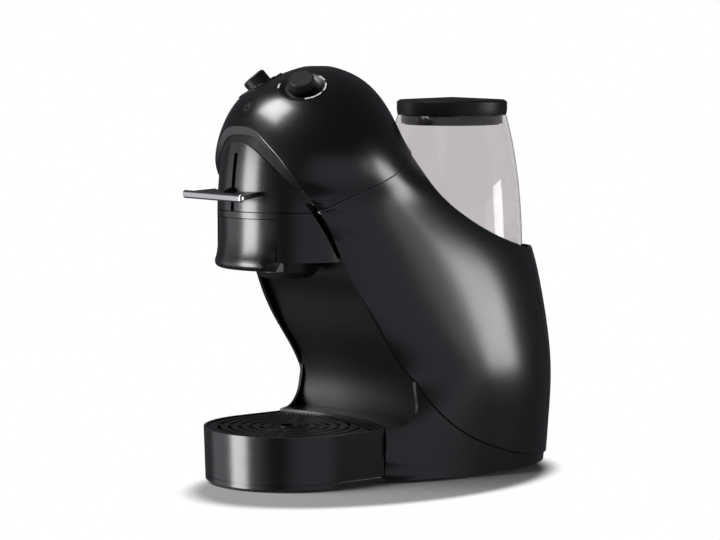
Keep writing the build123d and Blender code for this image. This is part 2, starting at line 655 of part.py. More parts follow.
def make_drawer():
    top = STRIP_FOOT_Z
    foot = DRAWER_FOOT_Z
    radius = DRAWER_RADIUS
    waist_in, waist_z = DRAWER_WAIST
    outside = Spline((radius, top), (radius - waist_in, waist_z), (radius + DRAWER_LIP, foot + DRAWER_LIP_Z))
    under = Spline(outside @ 1, (radius + DRAWER_LIP - 0.8, foot + 1.5), (radius + DRAWER_LIP - 3, foot))
    chin = radius - WALL - DRAWER_CHIN
    rest = Polyline(under @ 1, (chin, foot), (chin, foot + DRAWER_CHIN_Z),
                    (radius - WALL, foot + DRAWER_CHIN_TOP_Z), (radius - WALL, top), outside @ 0)
    profile = make_face([outside, under] + rest.edges())
    front = Pos(0, FACE_AXIS_Y, 0) * revolve(Plane.XZ * profile, Axis.Z)
    front &= block((-DRAWER_HALF_WIDTH, -FAR, 0), (DRAWER_HALF_WIDTH, FACE_AXIS_Y - WINDOW_DEPTH, FAR))
    nodes["drawer_front"] = only_solid(front)

    inside = disc(radius - WALL, 0, FAR, y=FACE_AXIS_Y)
    holder = block((-HOLDER_HALF_WIDTH, -FAR, HOLDER_FOOT_Z), (HOLDER_HALF_WIDTH, HOLDER_REAR_Y, HOLDER_TOP_Z))
    holder &= inside
    holder += disc(CUP_RADIUS, CUP_FOOT_Z, HOLDER_TOP_Z, y=BREW_Y)
    holder -= disc(CUP_BORE, CUP_FOOT_Z + CUP_FLOOR, FAR, y=BREW_Y)
    holder -= disc(SPOUT_BORE + SPOUT_SOCKET, 0, FAR, y=BREW_Y)
    nodes["capsule_holder"] = only_solid(holder)
    foot = SPOUT_FOOT_Z
    pin_foot = CUP_FOOT_Z + CUP_FLOOR
    neck = SPOUT_BORE + SPOUT_SOCKET - FIT
    nodes["spout_ring"] = turned([(SPOUT_BORE, foot), (CUP_RADIUS - SPOUT_TAPER, foot),
                                  (CUP_RADIUS - SPOUT_STEP, CUP_FOOT_Z), (neck, CUP_FOOT_Z), (neck, pin_foot),
                                  (SPOUT_BORE, pin_foot)], y=BREW_Y)
    plate = disc(CUP_BORE - FIT, pin_foot, pin_foot + PIERCE_PLATE, y=BREW_Y)
    plate -= disc(SPOUT_BORE, 0, FAR, y=BREW_Y)
    pin = Cone(PIERCE_RADIUS, PIERCE_TIP, PIERCE_HEIGHT, align=(Align.CENTER, Align.CENTER, Align.MIN))
    for k in range(PIERCE_COUNT):
        angle = 2 * math.pi * k / PIERCE_COUNT
        spot = (PIERCE_CIRCLE * math.cos(angle), BREW_Y + PIERCE_CIRCLE * math.sin(angle))
        plate += Pos(*spot, pin_foot + PIERCE_PLATE) * pin
    nodes["piercing_plate"] = plate


def lever_tilt():
    return Pos(0, FACE_AXIS_Y - FACE_RADIUS, LEVER_Z) * Rot(-LEVER_RISE_DEG, 0, 0)


def crank_place():
    drop = PIVOT_Z - LEVER_Z
    reach = PIVOT_Y - FACE_AXIS_Y + FACE_RADIUS
    angle = math.atan2(drop, reach)
    return PIVOT_Y - CRANK_ARM * math.cos(angle), PIVOT_Z - CRANK_ARM * math.sin(angle)


def cross_pin(radius, half_length, y, z):
    return Pos(0, y, z) * Rot(0, 90, 0) * Cylinder(radius, 2 * half_length)


def make_lever():
    face_y = FACE_AXIS_Y - FACE_RADIUS
    reach = face_y - LEVER_FRONT_Y - BAR_DEPTH
    rear = FACE_RADIUS + LEVER_FACE_GAP
    rear_half = LEVER_HALF_WIDTH - LEVER_TAPER
    corner_y = FACE_RADIUS - math.sqrt(rear ** 2 - rear_half ** 2)
    arc = ThreePointArc((-rear_half, corner_y), (0, -LEVER_FACE_GAP), (rear_half, corner_y))
    outline = Polyline((rear_half, corner_y), (LEVER_HALF_WIDTH, -reach), (-LEVER_HALF_WIDTH, -reach),
                       (-rear_half, corner_y))
    paddle = extrude(make_face([arc] + outline.edges()), LEVER_THICKNESS / 2, both=True)
    paddle = lever_tilt() * paddle
    web_low = [(face_y - 8, LEVER_Z - 1.5), (face_y - 8, LEVER_Z + 2.2), (face_y + 6, LEVER_Z + 6),
               (PIVOT_Y, PIVOT_Z + HUB_RADIUS - 1), (PIVOT_Y, PIVOT_Z - HUB_RADIUS + 1),
               (face_y + 6, LEVER_Z - 4)]
    arm = paddle + side_polygon(web_low, WEB_THICKNESS / 2)
    arm += cross_pin(HUB_RADIUS, EAR_INNER - CLEAR, PIVOT_Y, PIVOT_Z)
    arm -= cross_pin(PIVOT_RADIUS + FIT, FAR, PIVOT_Y, PIVOT_Z)
    crank_y, crank_z = crank_place()
    arm -= cross_pin(CRANK_RADIUS, FAR, crank_y, crank_z)
    nodes["lever_arm"] = only_solid(arm)
    bar = Box(2 * (LEVER_HALF_WIDTH + BAR_OVERHANG), BAR_DEPTH, BAR_HEIGHT)
    bar = fillet(bar.edges(), BAR_ROUND)
    nodes["lever_bar"] = lever_tilt() * Pos(0, -reach - BAR_DEPTH / 2, 0) * bar
    nodes["crank_pin"] = cross_pin(CRANK_RADIUS, YOKE_OUTER, crank_y, crank_z)
    nodes["lever_pivot"] = cross_pin(PIVOT_RADIUS, EAR_OUTER, PIVOT_Y, PIVOT_Z)


def make_brewer():
    brew = disc(BLOCK_RADIUS, BLOCK_FOOT_Z, BLOCK_TOP_Z, y=BREW_Y)
    brew -= disc(PLUNGER_RADIUS + FIT, 0, FAR * 2, y=BREW_Y)
    for side in (-1, 1):
        low = min(side * EAR_INNER, side * EAR_OUTER)
        ear = block((low, PIVOT_Y - EAR_REACH, BLOCK_TOP_Z - EAR_ROOT),
                    (low + EAR_OUTER - EAR_INNER, SHELF_FRONT_Y, PIVOT_Z + EAR_REACH))
        brew += ear - disc(PLUNGER_RADIUS + FIT, 0, BLOCK_TOP_Z, y=BREW_Y)
    brew -= cross_pin(PIVOT_RADIUS, FAR, PIVOT_Y, PIVOT_Z)
    nodes["brew_block"] = only_solid(brew)

    crank_y, crank_z = crank_place()
    yoke_foot = BLOCK_TOP_Z + 2 * CLEAR
    yoke_top = yoke_foot + YOKE_PLATE
    groove = PLUNGER_RADIUS - SEAL_DEPTH
    seal_top = SEAL_FOOT_Z + SEAL_HEIGHT
    needle_top = PLUNGER_FOOT_Z + NEEDLE_GRIP
    plunger = disc(PLUNGER_RADIUS, PLUNGER_FOOT_Z, PLUNGER_FOOT_Z + PLUNGER_LENGTH, y=BREW_Y)
    plunger -= disc(PLUNGER_RADIUS, SEAL_FOOT_Z, seal_top, y=BREW_Y) - disc(groove, 0, FAR, y=BREW_Y)
    plunger += disc(PLUNGER_NECK_RADIUS, PLUNGER_FOOT_Z, yoke_top, y=BREW_Y)
    plunger -= disc(NEEDLE_RADIUS, 0, needle_top + CLEAR, y=BREW_Y)
    plunger += block((-YOKE_OUTER, crank_y - YOKE_FRONT, yoke_foot),
                     (YOKE_OUTER, BREW_Y + PLUNGER_NECK_RADIUS, yoke_top))
    slot = CRANK_RADIUS + CLEAR
    for side in (-1, 1):
        low = min(side * YOKE_INNER, side * YOKE_OUTER)
        plunger += block((low, crank_y - YOKE_FRONT, yoke_foot),
                         (low + YOKE_OUTER - YOKE_INNER, crank_y + YOKE_REAR, crank_z + YOKE_RISE))
    plunger -= block((-FAR, crank_y - YOKE_SLOT, crank_z - slot), (FAR, crank_y + YOKE_SLOT, crank_z + slot))
    nodes["plunger"] = only_solid(plunger)
    seal = disc(PLUNGER_RADIUS - FIT, SEAL_FOOT_Z + FIT, seal_top - FIT, y=BREW_Y)
    nodes["plunger_seal"] = seal - disc(groove + FIT, 0, FAR, y=BREW_Y)
    needle = disc(NEEDLE_RADIUS - FIT / 2, NEEDLE_FOOT_Z, needle_top, y=BREW_Y)
    nodes["piercing_needle"] = needle - disc(NEEDLE_BORE, 0, PLUNGER_FOOT_Z + NEEDLE_GRIP / 2, y=BREW_Y)


def make_dials():
    for side, name in ((-1, "left"), (1, "right")):
        place = dial_place(side)
        rim = BEZEL_RADIUS
        bore = DIAL_SHAFT_RADIUS + FIT
        well_z = -KNOB_SINK - CLEAR
        ring_z = BEZEL_RISE - BEZEL_DISH
        collar_z = ring_z + COLLAR_RISE
        well = KNOB_RADIUS + COLLAR_GAP
        bezel = turned([(bore, -BEZEL_DEPTH), (rim, -BEZEL_DEPTH), (rim, BEZEL_RISE),
                        (rim - BEZEL_RIM, BEZEL_RISE), (COLLAR_RADIUS, ring_z),
                        (COLLAR_RADIUS - COLLAR_SLOPE, collar_z), (well, collar_z), (well, well_z),
                        (bore, well_z)])
        nodes[f"dial_bezel_{name}"] = place * bezel
        top = KNOB_HEIGHT
        knob = turned([(0, -KNOB_SINK), (KNOB_RADIUS, -KNOB_SINK), (KNOB_RADIUS, top - KNOB_CHAMFER),
                       (KNOB_RADIUS - KNOB_CHAMFER, top), (0, top)])
        knob += disc(DIAL_SHAFT_RADIUS, -DIAL_SHAFT_LENGTH, -KNOB_SINK)
        nodes[f"dial_knob_{name}"] = place * knob
        pot = disc(POT_RADIUS, -POT_DEPTH, -BEZEL_DEPTH) - disc(bore, -DIAL_SHAFT_LENGTH - CLEAR, 0)
        nodes[f"dial_sensor_{name}"] = place * pot


def make_button():
    place = button_place()
    cap_foot = -BUTTON_DEPTH
    cap = disc(BUTTON_RADIUS, cap_foot, BUTTON_DEPTH) & (place.inverse() * outer)
    stem_foot = cap_foot - BUTTON_STEM
    floor = stem_foot - BUTTON_TRAVEL - CLEAR
    cap = only_solid(cap) + disc(BUTTON_STEM_RADIUS, stem_foot, cap_foot)
    nodes["power_button"] = place * cap
    cup = disc(BUTTON_RADIUS + SWITCH_WALL, floor - SWITCH_FLOOR, 0) - disc(BUTTON_RADIUS + CLEAR, floor, 1)
    nodes["power_switch"] = only_solid((place * cup) & liner)
    spring = disc(BUTTON_SPRING_RADIUS, floor, cap_foot - FIT)
    nodes["button_spring"] = place * (spring - disc(BUTTON_SPRING_RADIUS - BUTTON_SPRING_WALL, floor, cap_foot))


def make_tank():
    outside = Spline(*TANK_PROFILE)
    wall_points = [(radius - TANK_WALL, z) for radius, z in TANK_PROFILE]
    wall_points[0] = (TANK_PROFILE[0][0] - TANK_WALL, TANK_FOOT_Z + TANK_FLOOR)
    inside = Spline(*wall_points)
    rest = [Line(outside @ 1, inside @ 1), Line(inside @ 0, (0, TANK_FOOT_Z + TANK_FLOOR)),
            Line((0, TANK_FOOT_Z + TANK_FLOOR), (0, TANK_FOOT_Z)), Line((0, TANK_FOOT_Z), outside @ 0)]
    tank = Pos(0, TANK_Y, 0) * revolve(Plane.XZ * make_face([outside, inside] + rest), Axis.Z)
    nodes["water_tank"] = tank - disc(VALVE_RADIUS, 0, FAR, y=TANK_Y)

    foot = TANK_TOP_Z + CLEAR
    top = foot + LID_HEIGHT
    skirt = LID_RADIUS
    crown_foot = top - LID_CROWN
    lid = turned([(0, foot), (skirt, foot), (skirt + LID_FLARE, foot + LID_EDGE),
                  (skirt + LID_FLARE, crown_foot - LID_EDGE / 2), (skirt - LID_EDGE / 2, crown_foot), (0, top)],
                 y=TANK_Y)
    plug = TANK_PROFILE[-1][0] - TANK_WALL - PLUG_GAP
    rim = plug - PLUG_WALL
    lid += disc(rim, foot - PLUG_DEPTH, foot + 1, y=TANK_Y) - disc(rim - PLUG_WALL, 0, foot - 1, y=TANK_Y)
    nodes["tank_lid"] = lid
    nodes["lid_seal"] = disc(plug, foot - 1 - SEAL_LENGTH, foot - 1, y=TANK_Y) - disc(rim, 0, FAR * 2, y=TANK_Y)

    low = TANK_FOOT_Z - VALVE_LENGTH
    floor_top = TANK_FOOT_Z + TANK_FLOOR
    seat = floor_top + VALVE_FLANGE_HEIGHT
    flange = VALVE_RADIUS + VALVE_FLANGE
    valve = disc(VALVE_RADIUS, low, floor_top, y=TANK_Y) + disc(flange, floor_top, seat, y=TANK_Y)
    nodes["tank_valve"] = valve - disc(VALVE_BORE + FIT, 0, FAR, y=TANK_Y)
    head_top = seat + POPPET_HEAD
    poppet = disc(VALVE_BORE, low + POPPET_LIP, head_top, y=TANK_Y)
    nodes["valve_poppet"] = poppet + disc(VALVE_BORE + POPPET_LIP, seat + FIT, head_top, y=TANK_Y)
    spring_top = head_top + SPRING_LENGTH
    spring = disc(VALVE_BORE, head_top + FIT, spring_top - FIT, y=TANK_Y)
    nodes["valve_spring"] = spring - disc(VALVE_BORE - SPRING_WALL, 0, FAR, y=TANK_Y)
    cage = disc(flange, seat, spring_top + CAGE_WALL, y=TANK_Y)
    cage -= disc(flange - CAGE_WALL, 0, spring_top, y=TANK_Y)
    for angle in range(0, 180, 45):
        way = Box(4 * VALVE_RADIUS, CAGE_SLOT, SPRING_LENGTH - CAGE_WALL)
        cage -= Pos(0, TANK_Y, (seat + spring_top) / 2) * Rot(0, 0, angle) * way
    nodes["tank_filter"] = only_solid(cage)


def make_bay():
    bay = disc(BAY_RADIUS + BAY_WALL, BAY_FLOOR_Z, FAR, y=TANK_Y)
    bay -= disc(BAY_RADIUS, BAY_FLOOR_Z + BAY_WALL, FAR * 2, y=TANK_Y)
    bay -= disc(SOCKET_RADIUS, 0, FAR, y=TANK_Y)
    for side in (-1, 1):
        x = side * CHASSIS_HALF_WIDTH / 2
        rib = block((x - BAY_WALL / 2, CHASSIS_Y + PLATE, BAY_FLOOR_Z),
                    (x + BAY_WALL / 2, TANK_Y, BAY_FLOOR_Z + BAY_RIB_HEIGHT))
        bay += rib - disc(BAY_RADIUS + BAY_WALL / 2, 0, FAR, y=TANK_Y)
    nodes["tank_bay"] = only_solid(bay & liner & below_slope(2 * DECK_DROP))

    low = TANK_FOOT_Z - SOCKET_LENGTH
    socket = disc(SOCKET_RADIUS - FIT, low, BAY_FLOOR_Z + BAY_WALL, y=TANK_Y)
    socket += disc(SOCKET_RADIUS + SOCKET_FLANGE, BAY_FLOOR_Z - SOCKET_FLANGE, BAY_FLOOR_Z, y=TANK_Y)
    socket -= disc(VALVE_RADIUS + CLEAR, low + SOCKET_FLOOR, FAR, y=TANK_Y)
    nodes["valve_socket"] = socket - disc(HOSE_BORE, 0, FAR, y=TANK_Y)

    deck = (below_slope(DECK_DROP) - below_slope(DECK_DROP + WALL)) & liner
    behind_neck = block((-FAR, NECK_FRONT_Y, 0), (FAR, FAR, FAR * 2))
    deck &= behind_neck
    deck -= disc(BAY_RADIUS + BAY_WALL + CLEAR, 0, FAR * 2, y=TANK_Y)
    neck_station = (NECK_TOP_Z,) + STATIONS[NECK_STATION][1:]
    neck = egg_face(neck_station, WALL + CLEAR) - egg_face(neck_station, 2 * WALL + CLEAR)
    wall = (extrude(neck, -NECK_LENGTH) & behind_neck) - below_slope(DECK_DROP + WALL / 2)
    nodes["tank_deck"] = only_solid(deck + wall)


def make_inside():
    half = CHASSIS_HALF_WIDTH
    shelf = SHELF_HALF_WIDTH
    plate_back = CHASSIS_Y + PLATE
    shelf_top = BLOCK_TOP_Z + PLATE
    board_y = plate_back + STANDOFF_LENGTH
    chassis = block((-half, CHASSIS_Y, FLOOR_TOP_Z), (half, plate_back, shelf_top))
    chassis += block((-shelf, SHELF_FRONT_Y, BLOCK_TOP_Z), (shelf, plate_back, shelf_top))
    chassis -= along_y(HOSE_RADIUS + CLEAR, CHASSIS_Y - PLATE, plate_back + PLATE, 0, HOSE_WAY_Z)
    for x in (-STANDOFF_X, STANDOFF_X):
        for rise in STANDOFF_RISES:
            chassis += along_y(STANDOFF_RADIUS, plate_back, board_y, x, BOARD_FOOT_Z + rise)
    nodes["chassis"] = chassis & liner
    board_face = board_y + BOARD_THICKNESS
    wide, tall = BOARD_SIZE
    board = block((-wide / 2, board_y, BOARD_FOOT_Z), (wide / 2, board_face, BOARD_FOOT_Z + tall))
    for x, rise, w, h in BOARD_PARTS:
        z = BOARD_FOOT_Z + rise
        board += block((x - w / 2, board_face, z - h / 2),
                       (x + w / 2, board_face + BOARD_PART_HEIGHT, z + h / 2))
    nodes["control_board"] = board

    wide, deep, tall = BOILER_SIZE
    front_y = CHASSIS_Y - deep
    centre_y = CHASSIS_Y - deep / 2
    boiler_top = BOILER_FOOT_Z + tall
    heater_z = BOILER_FOOT_Z + HEATER_Z
    boiler = block((-wide / 2, front_y, BOILER_FOOT_Z), (wide / 2, CHASSIS_Y, boiler_top))
    nodes["heater_block"] = boiler - cross_pin(HEATER_RADIUS, FAR, centre_y, heater_z)
    nodes["heater_rod"] = cross_pin(HEATER_RADIUS, wide / 2 + HEATER_END, centre_y, heater_z)
    nodes["thermostat"] = along_y(THERMOSTAT_RADIUS, front_y - THERMOSTAT_DEPTH, front_y, 0,
                                  BOILER_FOOT_Z + THERMOSTAT_Z)

    low_y = TANK_Y - PUMP_LENGTH / 2
    high_y = TANK_Y + PUMP_LENGTH / 2
    barrel = along_y(PUMP_RADIUS, low_y, high_y, 0, PUMP_Z)
    nodes["pump"] = barrel
    mounts = []
    for y in (low_y + MOUNT_INSET, high_y - MOUNT_INSET - MOUNT_DEPTH):
        mounts.append(block((-MOUNT_HALF_WIDTH, y, FLOOR_TOP_Z),
                            (MOUNT_HALF_WIDTH, y + MOUNT_DEPTH, PUMP_Z - MOUNT_DROP)) - barrel)
    nodes["pump_mounts"] = Compound(mounts)
    meter_foot = PUMP_Z - METER_DROP
    meter_top = PUMP_Z + METER_RISE
    meter = disc(METER_RADIUS, meter_foot, meter_top, METER_X, TANK_Y)
    meter += disc(METER_POST, FLOOR_TOP_Z, meter_foot, METER_X, TANK_Y)
    nodes["flow_meter"] = meter

    socket_foot = TANK_FOOT_Z - SOCKET_LENGTH
    run_z = socket_foot - HOSE_RUN
    nodes["hose_tank"] = hose([(0, TANK_Y, socket_foot), (0, TANK_Y, run_z), (METER_X, TANK_Y, run_z),
                               (METER_X, TANK_Y, meter_top)])
    hose_z = PUMP_Z - PUMP_HOSE_DROP
    nodes["hose_pump"] = hose([(METER_X, TANK_Y, hose_z), (0, TANK_Y, hose_z)]) - barrel - meter
    rise_y = plate_back + HOSE_RISE_GAP
    nodes["hose_boiler"] = hose([(0, low_y, PUMP_Z), (0, rise_y, PUMP_Z), (0, rise_y, HOSE_WAY_Z),
                                 (0, centre_y, HOSE_WAY_Z), (0, centre_y, BOILER_FOOT_Z)])
    over_z = boiler_top + HOSE_RUN
    brew_hose = hose([(0, centre_y, boiler_top), (0, centre_y, over_z), (0, BREW_Y, over_z)])
    nodes["hose_brew"] = brew_hose - disc(BLOCK_RADIUS, 0, FAR, y=BREW_Y)

    inner_y = GLAND_Y - GLAND_LENGTH / 2
    gland = along_y(GLAND_RADIUS, inner_y, GLAND_Y + GLAND_LENGTH / 2, 0, GLAND_Z)
    gland += along_y(GLAND_RADIUS + GLAND_FLANGE, inner_y, inner_y + GLAND_FLANGE, 0, GLAND_Z)
    nodes["cord_gland"] = gland - along_y(GLAND_BORE, 0, FAR, 0, GLAND_Z)


if __name__ == "__main__":
    os.makedirs("parts", exist_ok=True)
    for make in (make_covers, make_hood, make_head, make_column, make_base, make_tray, make_drawer, make_lever,
                 make_brewer, make_dials, make_button, make_tank, make_bay, make_inside):
        make()
    for name, shape in nodes.items():
        export_step(shape, f"parts/{name}.step")
    print(len(nodes), "pieces written")
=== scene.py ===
# %% [markdown]
# A pod coffee machine in glossy black plastic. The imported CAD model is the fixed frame: it gives every
# size and every joint. This lesson dresses it, piece by piece, with smooth skins and procedural finishes.

# %% Load the frame
import bpy
import bmesh
import json
import math
import numpy as np
from mathutils import Matrix, Vector
from mathutils.bvhtree import BVHTree

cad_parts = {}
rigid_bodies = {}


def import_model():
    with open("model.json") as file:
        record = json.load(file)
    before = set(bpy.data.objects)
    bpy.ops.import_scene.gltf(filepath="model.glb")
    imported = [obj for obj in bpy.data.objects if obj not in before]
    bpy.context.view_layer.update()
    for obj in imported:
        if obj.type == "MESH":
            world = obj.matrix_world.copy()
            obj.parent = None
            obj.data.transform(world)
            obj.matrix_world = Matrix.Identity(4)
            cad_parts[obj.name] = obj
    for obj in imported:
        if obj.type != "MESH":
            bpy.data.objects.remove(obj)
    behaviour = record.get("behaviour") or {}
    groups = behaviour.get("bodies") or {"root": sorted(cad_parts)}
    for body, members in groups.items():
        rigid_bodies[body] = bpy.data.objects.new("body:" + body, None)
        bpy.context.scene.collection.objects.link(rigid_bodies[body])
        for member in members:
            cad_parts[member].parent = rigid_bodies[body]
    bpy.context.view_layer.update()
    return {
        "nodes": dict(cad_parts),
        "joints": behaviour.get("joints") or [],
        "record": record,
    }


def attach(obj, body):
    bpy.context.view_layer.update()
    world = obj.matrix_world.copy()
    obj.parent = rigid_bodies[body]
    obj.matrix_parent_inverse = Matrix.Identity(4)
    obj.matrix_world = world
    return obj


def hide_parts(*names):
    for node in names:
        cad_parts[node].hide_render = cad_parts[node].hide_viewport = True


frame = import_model()
MM = 0.001
node_body = {n: b for b, members in frame["record"]["behaviour"]["bodies"].items() for n in members}
joints = {j["name"]: j for j in frame["joints"]}

# %% [markdown]
# Plastic, chrome and rubber all come from one Principled shader. What changes is the colour, the gloss
# and the small unevenness of a moulded surface. A noise texture on Object coordinates varies the
# roughness a little, as handling does, and a second, finer one gives a faint bump, the orange peel of
# moulded plastic.

# %% Finish helper
def link(material, start, end):
    """Join two sockets of a material's tree."""
    material.node_tree.links.new(start, end)


def finish_of(name, dark, light, rough, grain=900.0, bump=0.02, **sockets):
    """A finish whose colour and roughness drift between two values over a few centimetres."""
    material = bpy.data.materials.new(name)
    material.use_nodes = True
    nodes = material.node_tree.nodes
    shader = nodes["Principled BSDF"]
    place = nodes.new("ShaderNodeTexCoord")
    drift = nodes.new("ShaderNodeTexNoise")
    drift.inputs["Scale"].default_value = 38.0
    drift.inputs["Detail"].default_value = 6.0
    link(material, place.outputs["Object"], drift.inputs["Vector"])
    colour = nodes.new("ShaderNodeMix")
    colour.data_type = "RGBA"
    colour.inputs[6].default_value = (*dark, 1)
    colour.inputs[7].default_value = (*light, 1)
    link(material, drift.outputs["Fac"], colour.inputs[0])
    link(material, colour.outputs[2], shader.inputs["Base Color"])
    gloss = nodes.new("ShaderNodeMapRange")
    gloss.inputs["From Min"].default_value = 0.3
    gloss.inputs["From Max"].default_value = 0.7
    gloss.inputs["To Min"].default_value = rough[0]
    gloss.inputs["To Max"].default_value = rough[1]
    link(material, drift.outputs["Fac"], gloss.inputs["Value"])
    link(material, gloss.outputs["Result"], shader.inputs["Roughness"])
    if bump > 0:
        peel = nodes.new("ShaderNodeTexNoise")
        peel.inputs["Scale"].default_value = grain
        peel.inputs["Detail"].default_value = 2.0
        link(material, place.outputs["Object"], peel.inputs["Vector"])
        relief = nodes.new("ShaderNodeBump")
        relief.inputs["Strength"].default_value = bump
        relief.inputs["Distance"].default_value = 0.0002
        link(material, peel.outputs["Fac"], relief.inputs["Height"])
        link(material, relief.outputs["Normal"], shader.inputs["Normal"])
    for socket, value in sockets.items():
        shader.inputs[socket.replace("_", " ")].default_value = value
    return material


print("finish helper ready")

# %% [markdown]
# The covers are black plastic with a deep gloss, made here as a clear coat over a dark base. The face of
# the brew head is a little sharper, and the column and the hood's trim are dull. The bar is chromed, and
# the tank is clear plastic that passes light. Every shown CAD node first gets the finish of its own
# material slot.

# %% The finishes of this machine
piano_black = finish_of("piano_black", (0.0018, 0.0018, 0.0022), (0.0026, 0.0026, 0.0031), (0.27, 0.32),
                        bump=0.012, Coat_Weight=1.0, Coat_Roughness=0.22)
face_black = finish_of("face_black", (0.0016, 0.0016, 0.002), (0.0024, 0.0024, 0.0029), (0.25, 0.3),
                       bump=0.012, Coat_Weight=1.0, Coat_Roughness=0.21)
column_black = finish_of("column_black", (0.003, 0.003, 0.0035), (0.004, 0.004, 0.0046), (0.44, 0.5),
                         2200, 0.03)
sheen_black = finish_of("sheen_black", (0.002, 0.002, 0.0024), (0.003, 0.003, 0.0035), (0.22, 0.28),
                        bump=0.012, Coat_Weight=1.0, Coat_Roughness=0.2)
satin_black = finish_of("satin_black", (0.010, 0.010, 0.011), (0.014, 0.014, 0.015), (0.34, 0.44), 2600, 0.1)
grid_black = finish_of("grid_black", (0.006, 0.006, 0.0065), (0.009, 0.009, 0.0095), (0.3, 0.4), 2200, 0.08)
dark_grey = finish_of("dark_grey", (0.05, 0.05, 0.054), (0.065, 0.065, 0.07), (0.5, 0.62), 2200, 0.15)
chrome = finish_of("chrome", (0.80, 0.80, 0.82), (0.86, 0.86, 0.87), (0.10, 0.16),
                   bump=0.004, Metallic=1.0)
# A bright grey metal for the edge beads: a painted highlight line for the glint on the covers' glossy black
# edges.
painted_edge_highlight = finish_of("painted_edge_highlight_metal", (0.20, 0.20, 0.21), (0.26, 0.26, 0.27), (0.2, 0.26),
                       bump=0.004, Metallic=1.0)
steel = finish_of("turned_steel", (0.55, 0.55, 0.56), (0.63, 0.63, 0.64), (0.25, 0.36),
                  3000, 0.05, Metallic=1.0)
aluminium = finish_of("cast_aluminium", (0.58, 0.59, 0.60), (0.68, 0.68, 0.69), (0.4, 0.55),
                      1500, 0.2, Metallic=1.0)
soft_rubber = finish_of("soft_rubber", (0.02, 0.02, 0.02), (0.03, 0.03, 0.03), (0.7, 0.85), 1800, 0.2)
silicone = finish_of("milky_silicone", (0.70, 0.69, 0.66), (0.78, 0.77, 0.73), (0.35, 0.5), 1500, 0.05)
board_green = finish_of("board_green", (0.02, 0.12, 0.05), (0.03, 0.17, 0.08), (0.3, 0.45), 1800, 0.05)
white_plastic = finish_of("white_plastic", (0.76, 0.76, 0.74), (0.82, 0.82, 0.80), (0.35, 0.5), 2000, 0.05)
mark_white = finish_of("mark_white", (0.80, 0.80, 0.80), (0.86, 0.86, 0.86), (0.4, 0.5), 2000, 0.02)
icon_grey = finish_of("icon_grey", (0.05, 0.05, 0.053), (0.065, 0.065, 0.068), (0.3, 0.4), 2000, 0.02)
clear_plastic = finish_of("clear_tank_plastic", (0.735, 0.71, 0.725), (0.76, 0.735, 0.75), (0.015, 0.035),
                          bump=0.0, Transmission_Weight=1.0, IOR=1.45)
SLOT_FINISH = {"gloss_black": piano_black, "satin_black": satin_black, "dark_grey": dark_grey,
               "clear_tank": clear_plastic, "chrome": chrome, "steel": steel, "aluminium": aluminium,
               "rubber": soft_rubber, "silicone": silicone, "board_green": board_green,
               "white_plastic": white_plastic}
node_slot = {s["node"]: s["material_slot"] for s in frame["record"]["subparts"]}
for name, node in frame["nodes"].items():
    node.data.materials.clear()
    node.data.materials.append(SLOT_FINISH[node_slot[name]])
print("finishes:", len(bpy.data.materials))

# %% [markdown]
# A gloss shell shows every kink of its mesh, because the highlight follows the normals. The covers of
# this machine are all cut from one smooth body, so a dense copy of that body is made here from the same
# table of sections, and each shell borrows its normals. The shape stays the CAD shape.

# %% The smooth body that the covers are cut from
# Each section: height, half width, middle, front and rear along the machine, fullness of the rear half.
SECTIONS = np.array([
    (0, 83, 48, -93, 143.1, 2.3), (20, 84.2, 48, -90, 145.1, 2.3), (40, 85.3, 48, -88, 146.6, 2.3),
    (74, 86.5, 45, -60, 148.1, 2.3), (106, 83.3, 38, -86, 147.1, 2.3), (144, 79, 22, -109, 142.1, 2.3),
    (175, 75, 2, -122, 133.1, 2.2), (205, 70.5, -30, -131, 95, 2.1), (230, 70.5, -54, -131, 30, 2.0),
    (250, 67.5, -60, -127.5, 8, 2.0), (268, 59, -60, -120.5, -1.5, 2.0), (283, 47, -58, -108, -11.5, 2.0),
    (294, 31.5, -55, -86, -24, 2.0), (300, 16, -53, -69.5, -37, 2.0), (302, 6, -52.5, -58.5, -46.5, 2.0)])


def smooth_through(knots, values, at):
    """Natural cubic spline through the values, one column for each size of a section."""
    step = np.diff(knots)
    n = len(knots)
    system = np.eye(n)
    right = np.zeros((n, values.shape[1]))
    for i in range(1, n - 1):
        system[i, i - 1:i + 2] = step[i - 1], 2 * (step[i - 1] + step[i]), step[i]
        right[i] = 6 * ((values[i + 1] - values[i]) / step[i] - (values[i] - values[i - 1]) / step[i - 1])
    bend = np.linalg.solve(system, right)
    k = np.clip(np.searchsorted(knots, at) - 1, 0, n - 2)
    h = step[k][:, None]
    a = (knots[k + 1] - at)[:, None] / h
    b = 1 - a
    return (a * values[k] + b * values[k + 1]
            + ((a ** 3 - a) * bend[k] + (b ** 3 - b) * bend[k + 1]) * h ** 2 / 6)


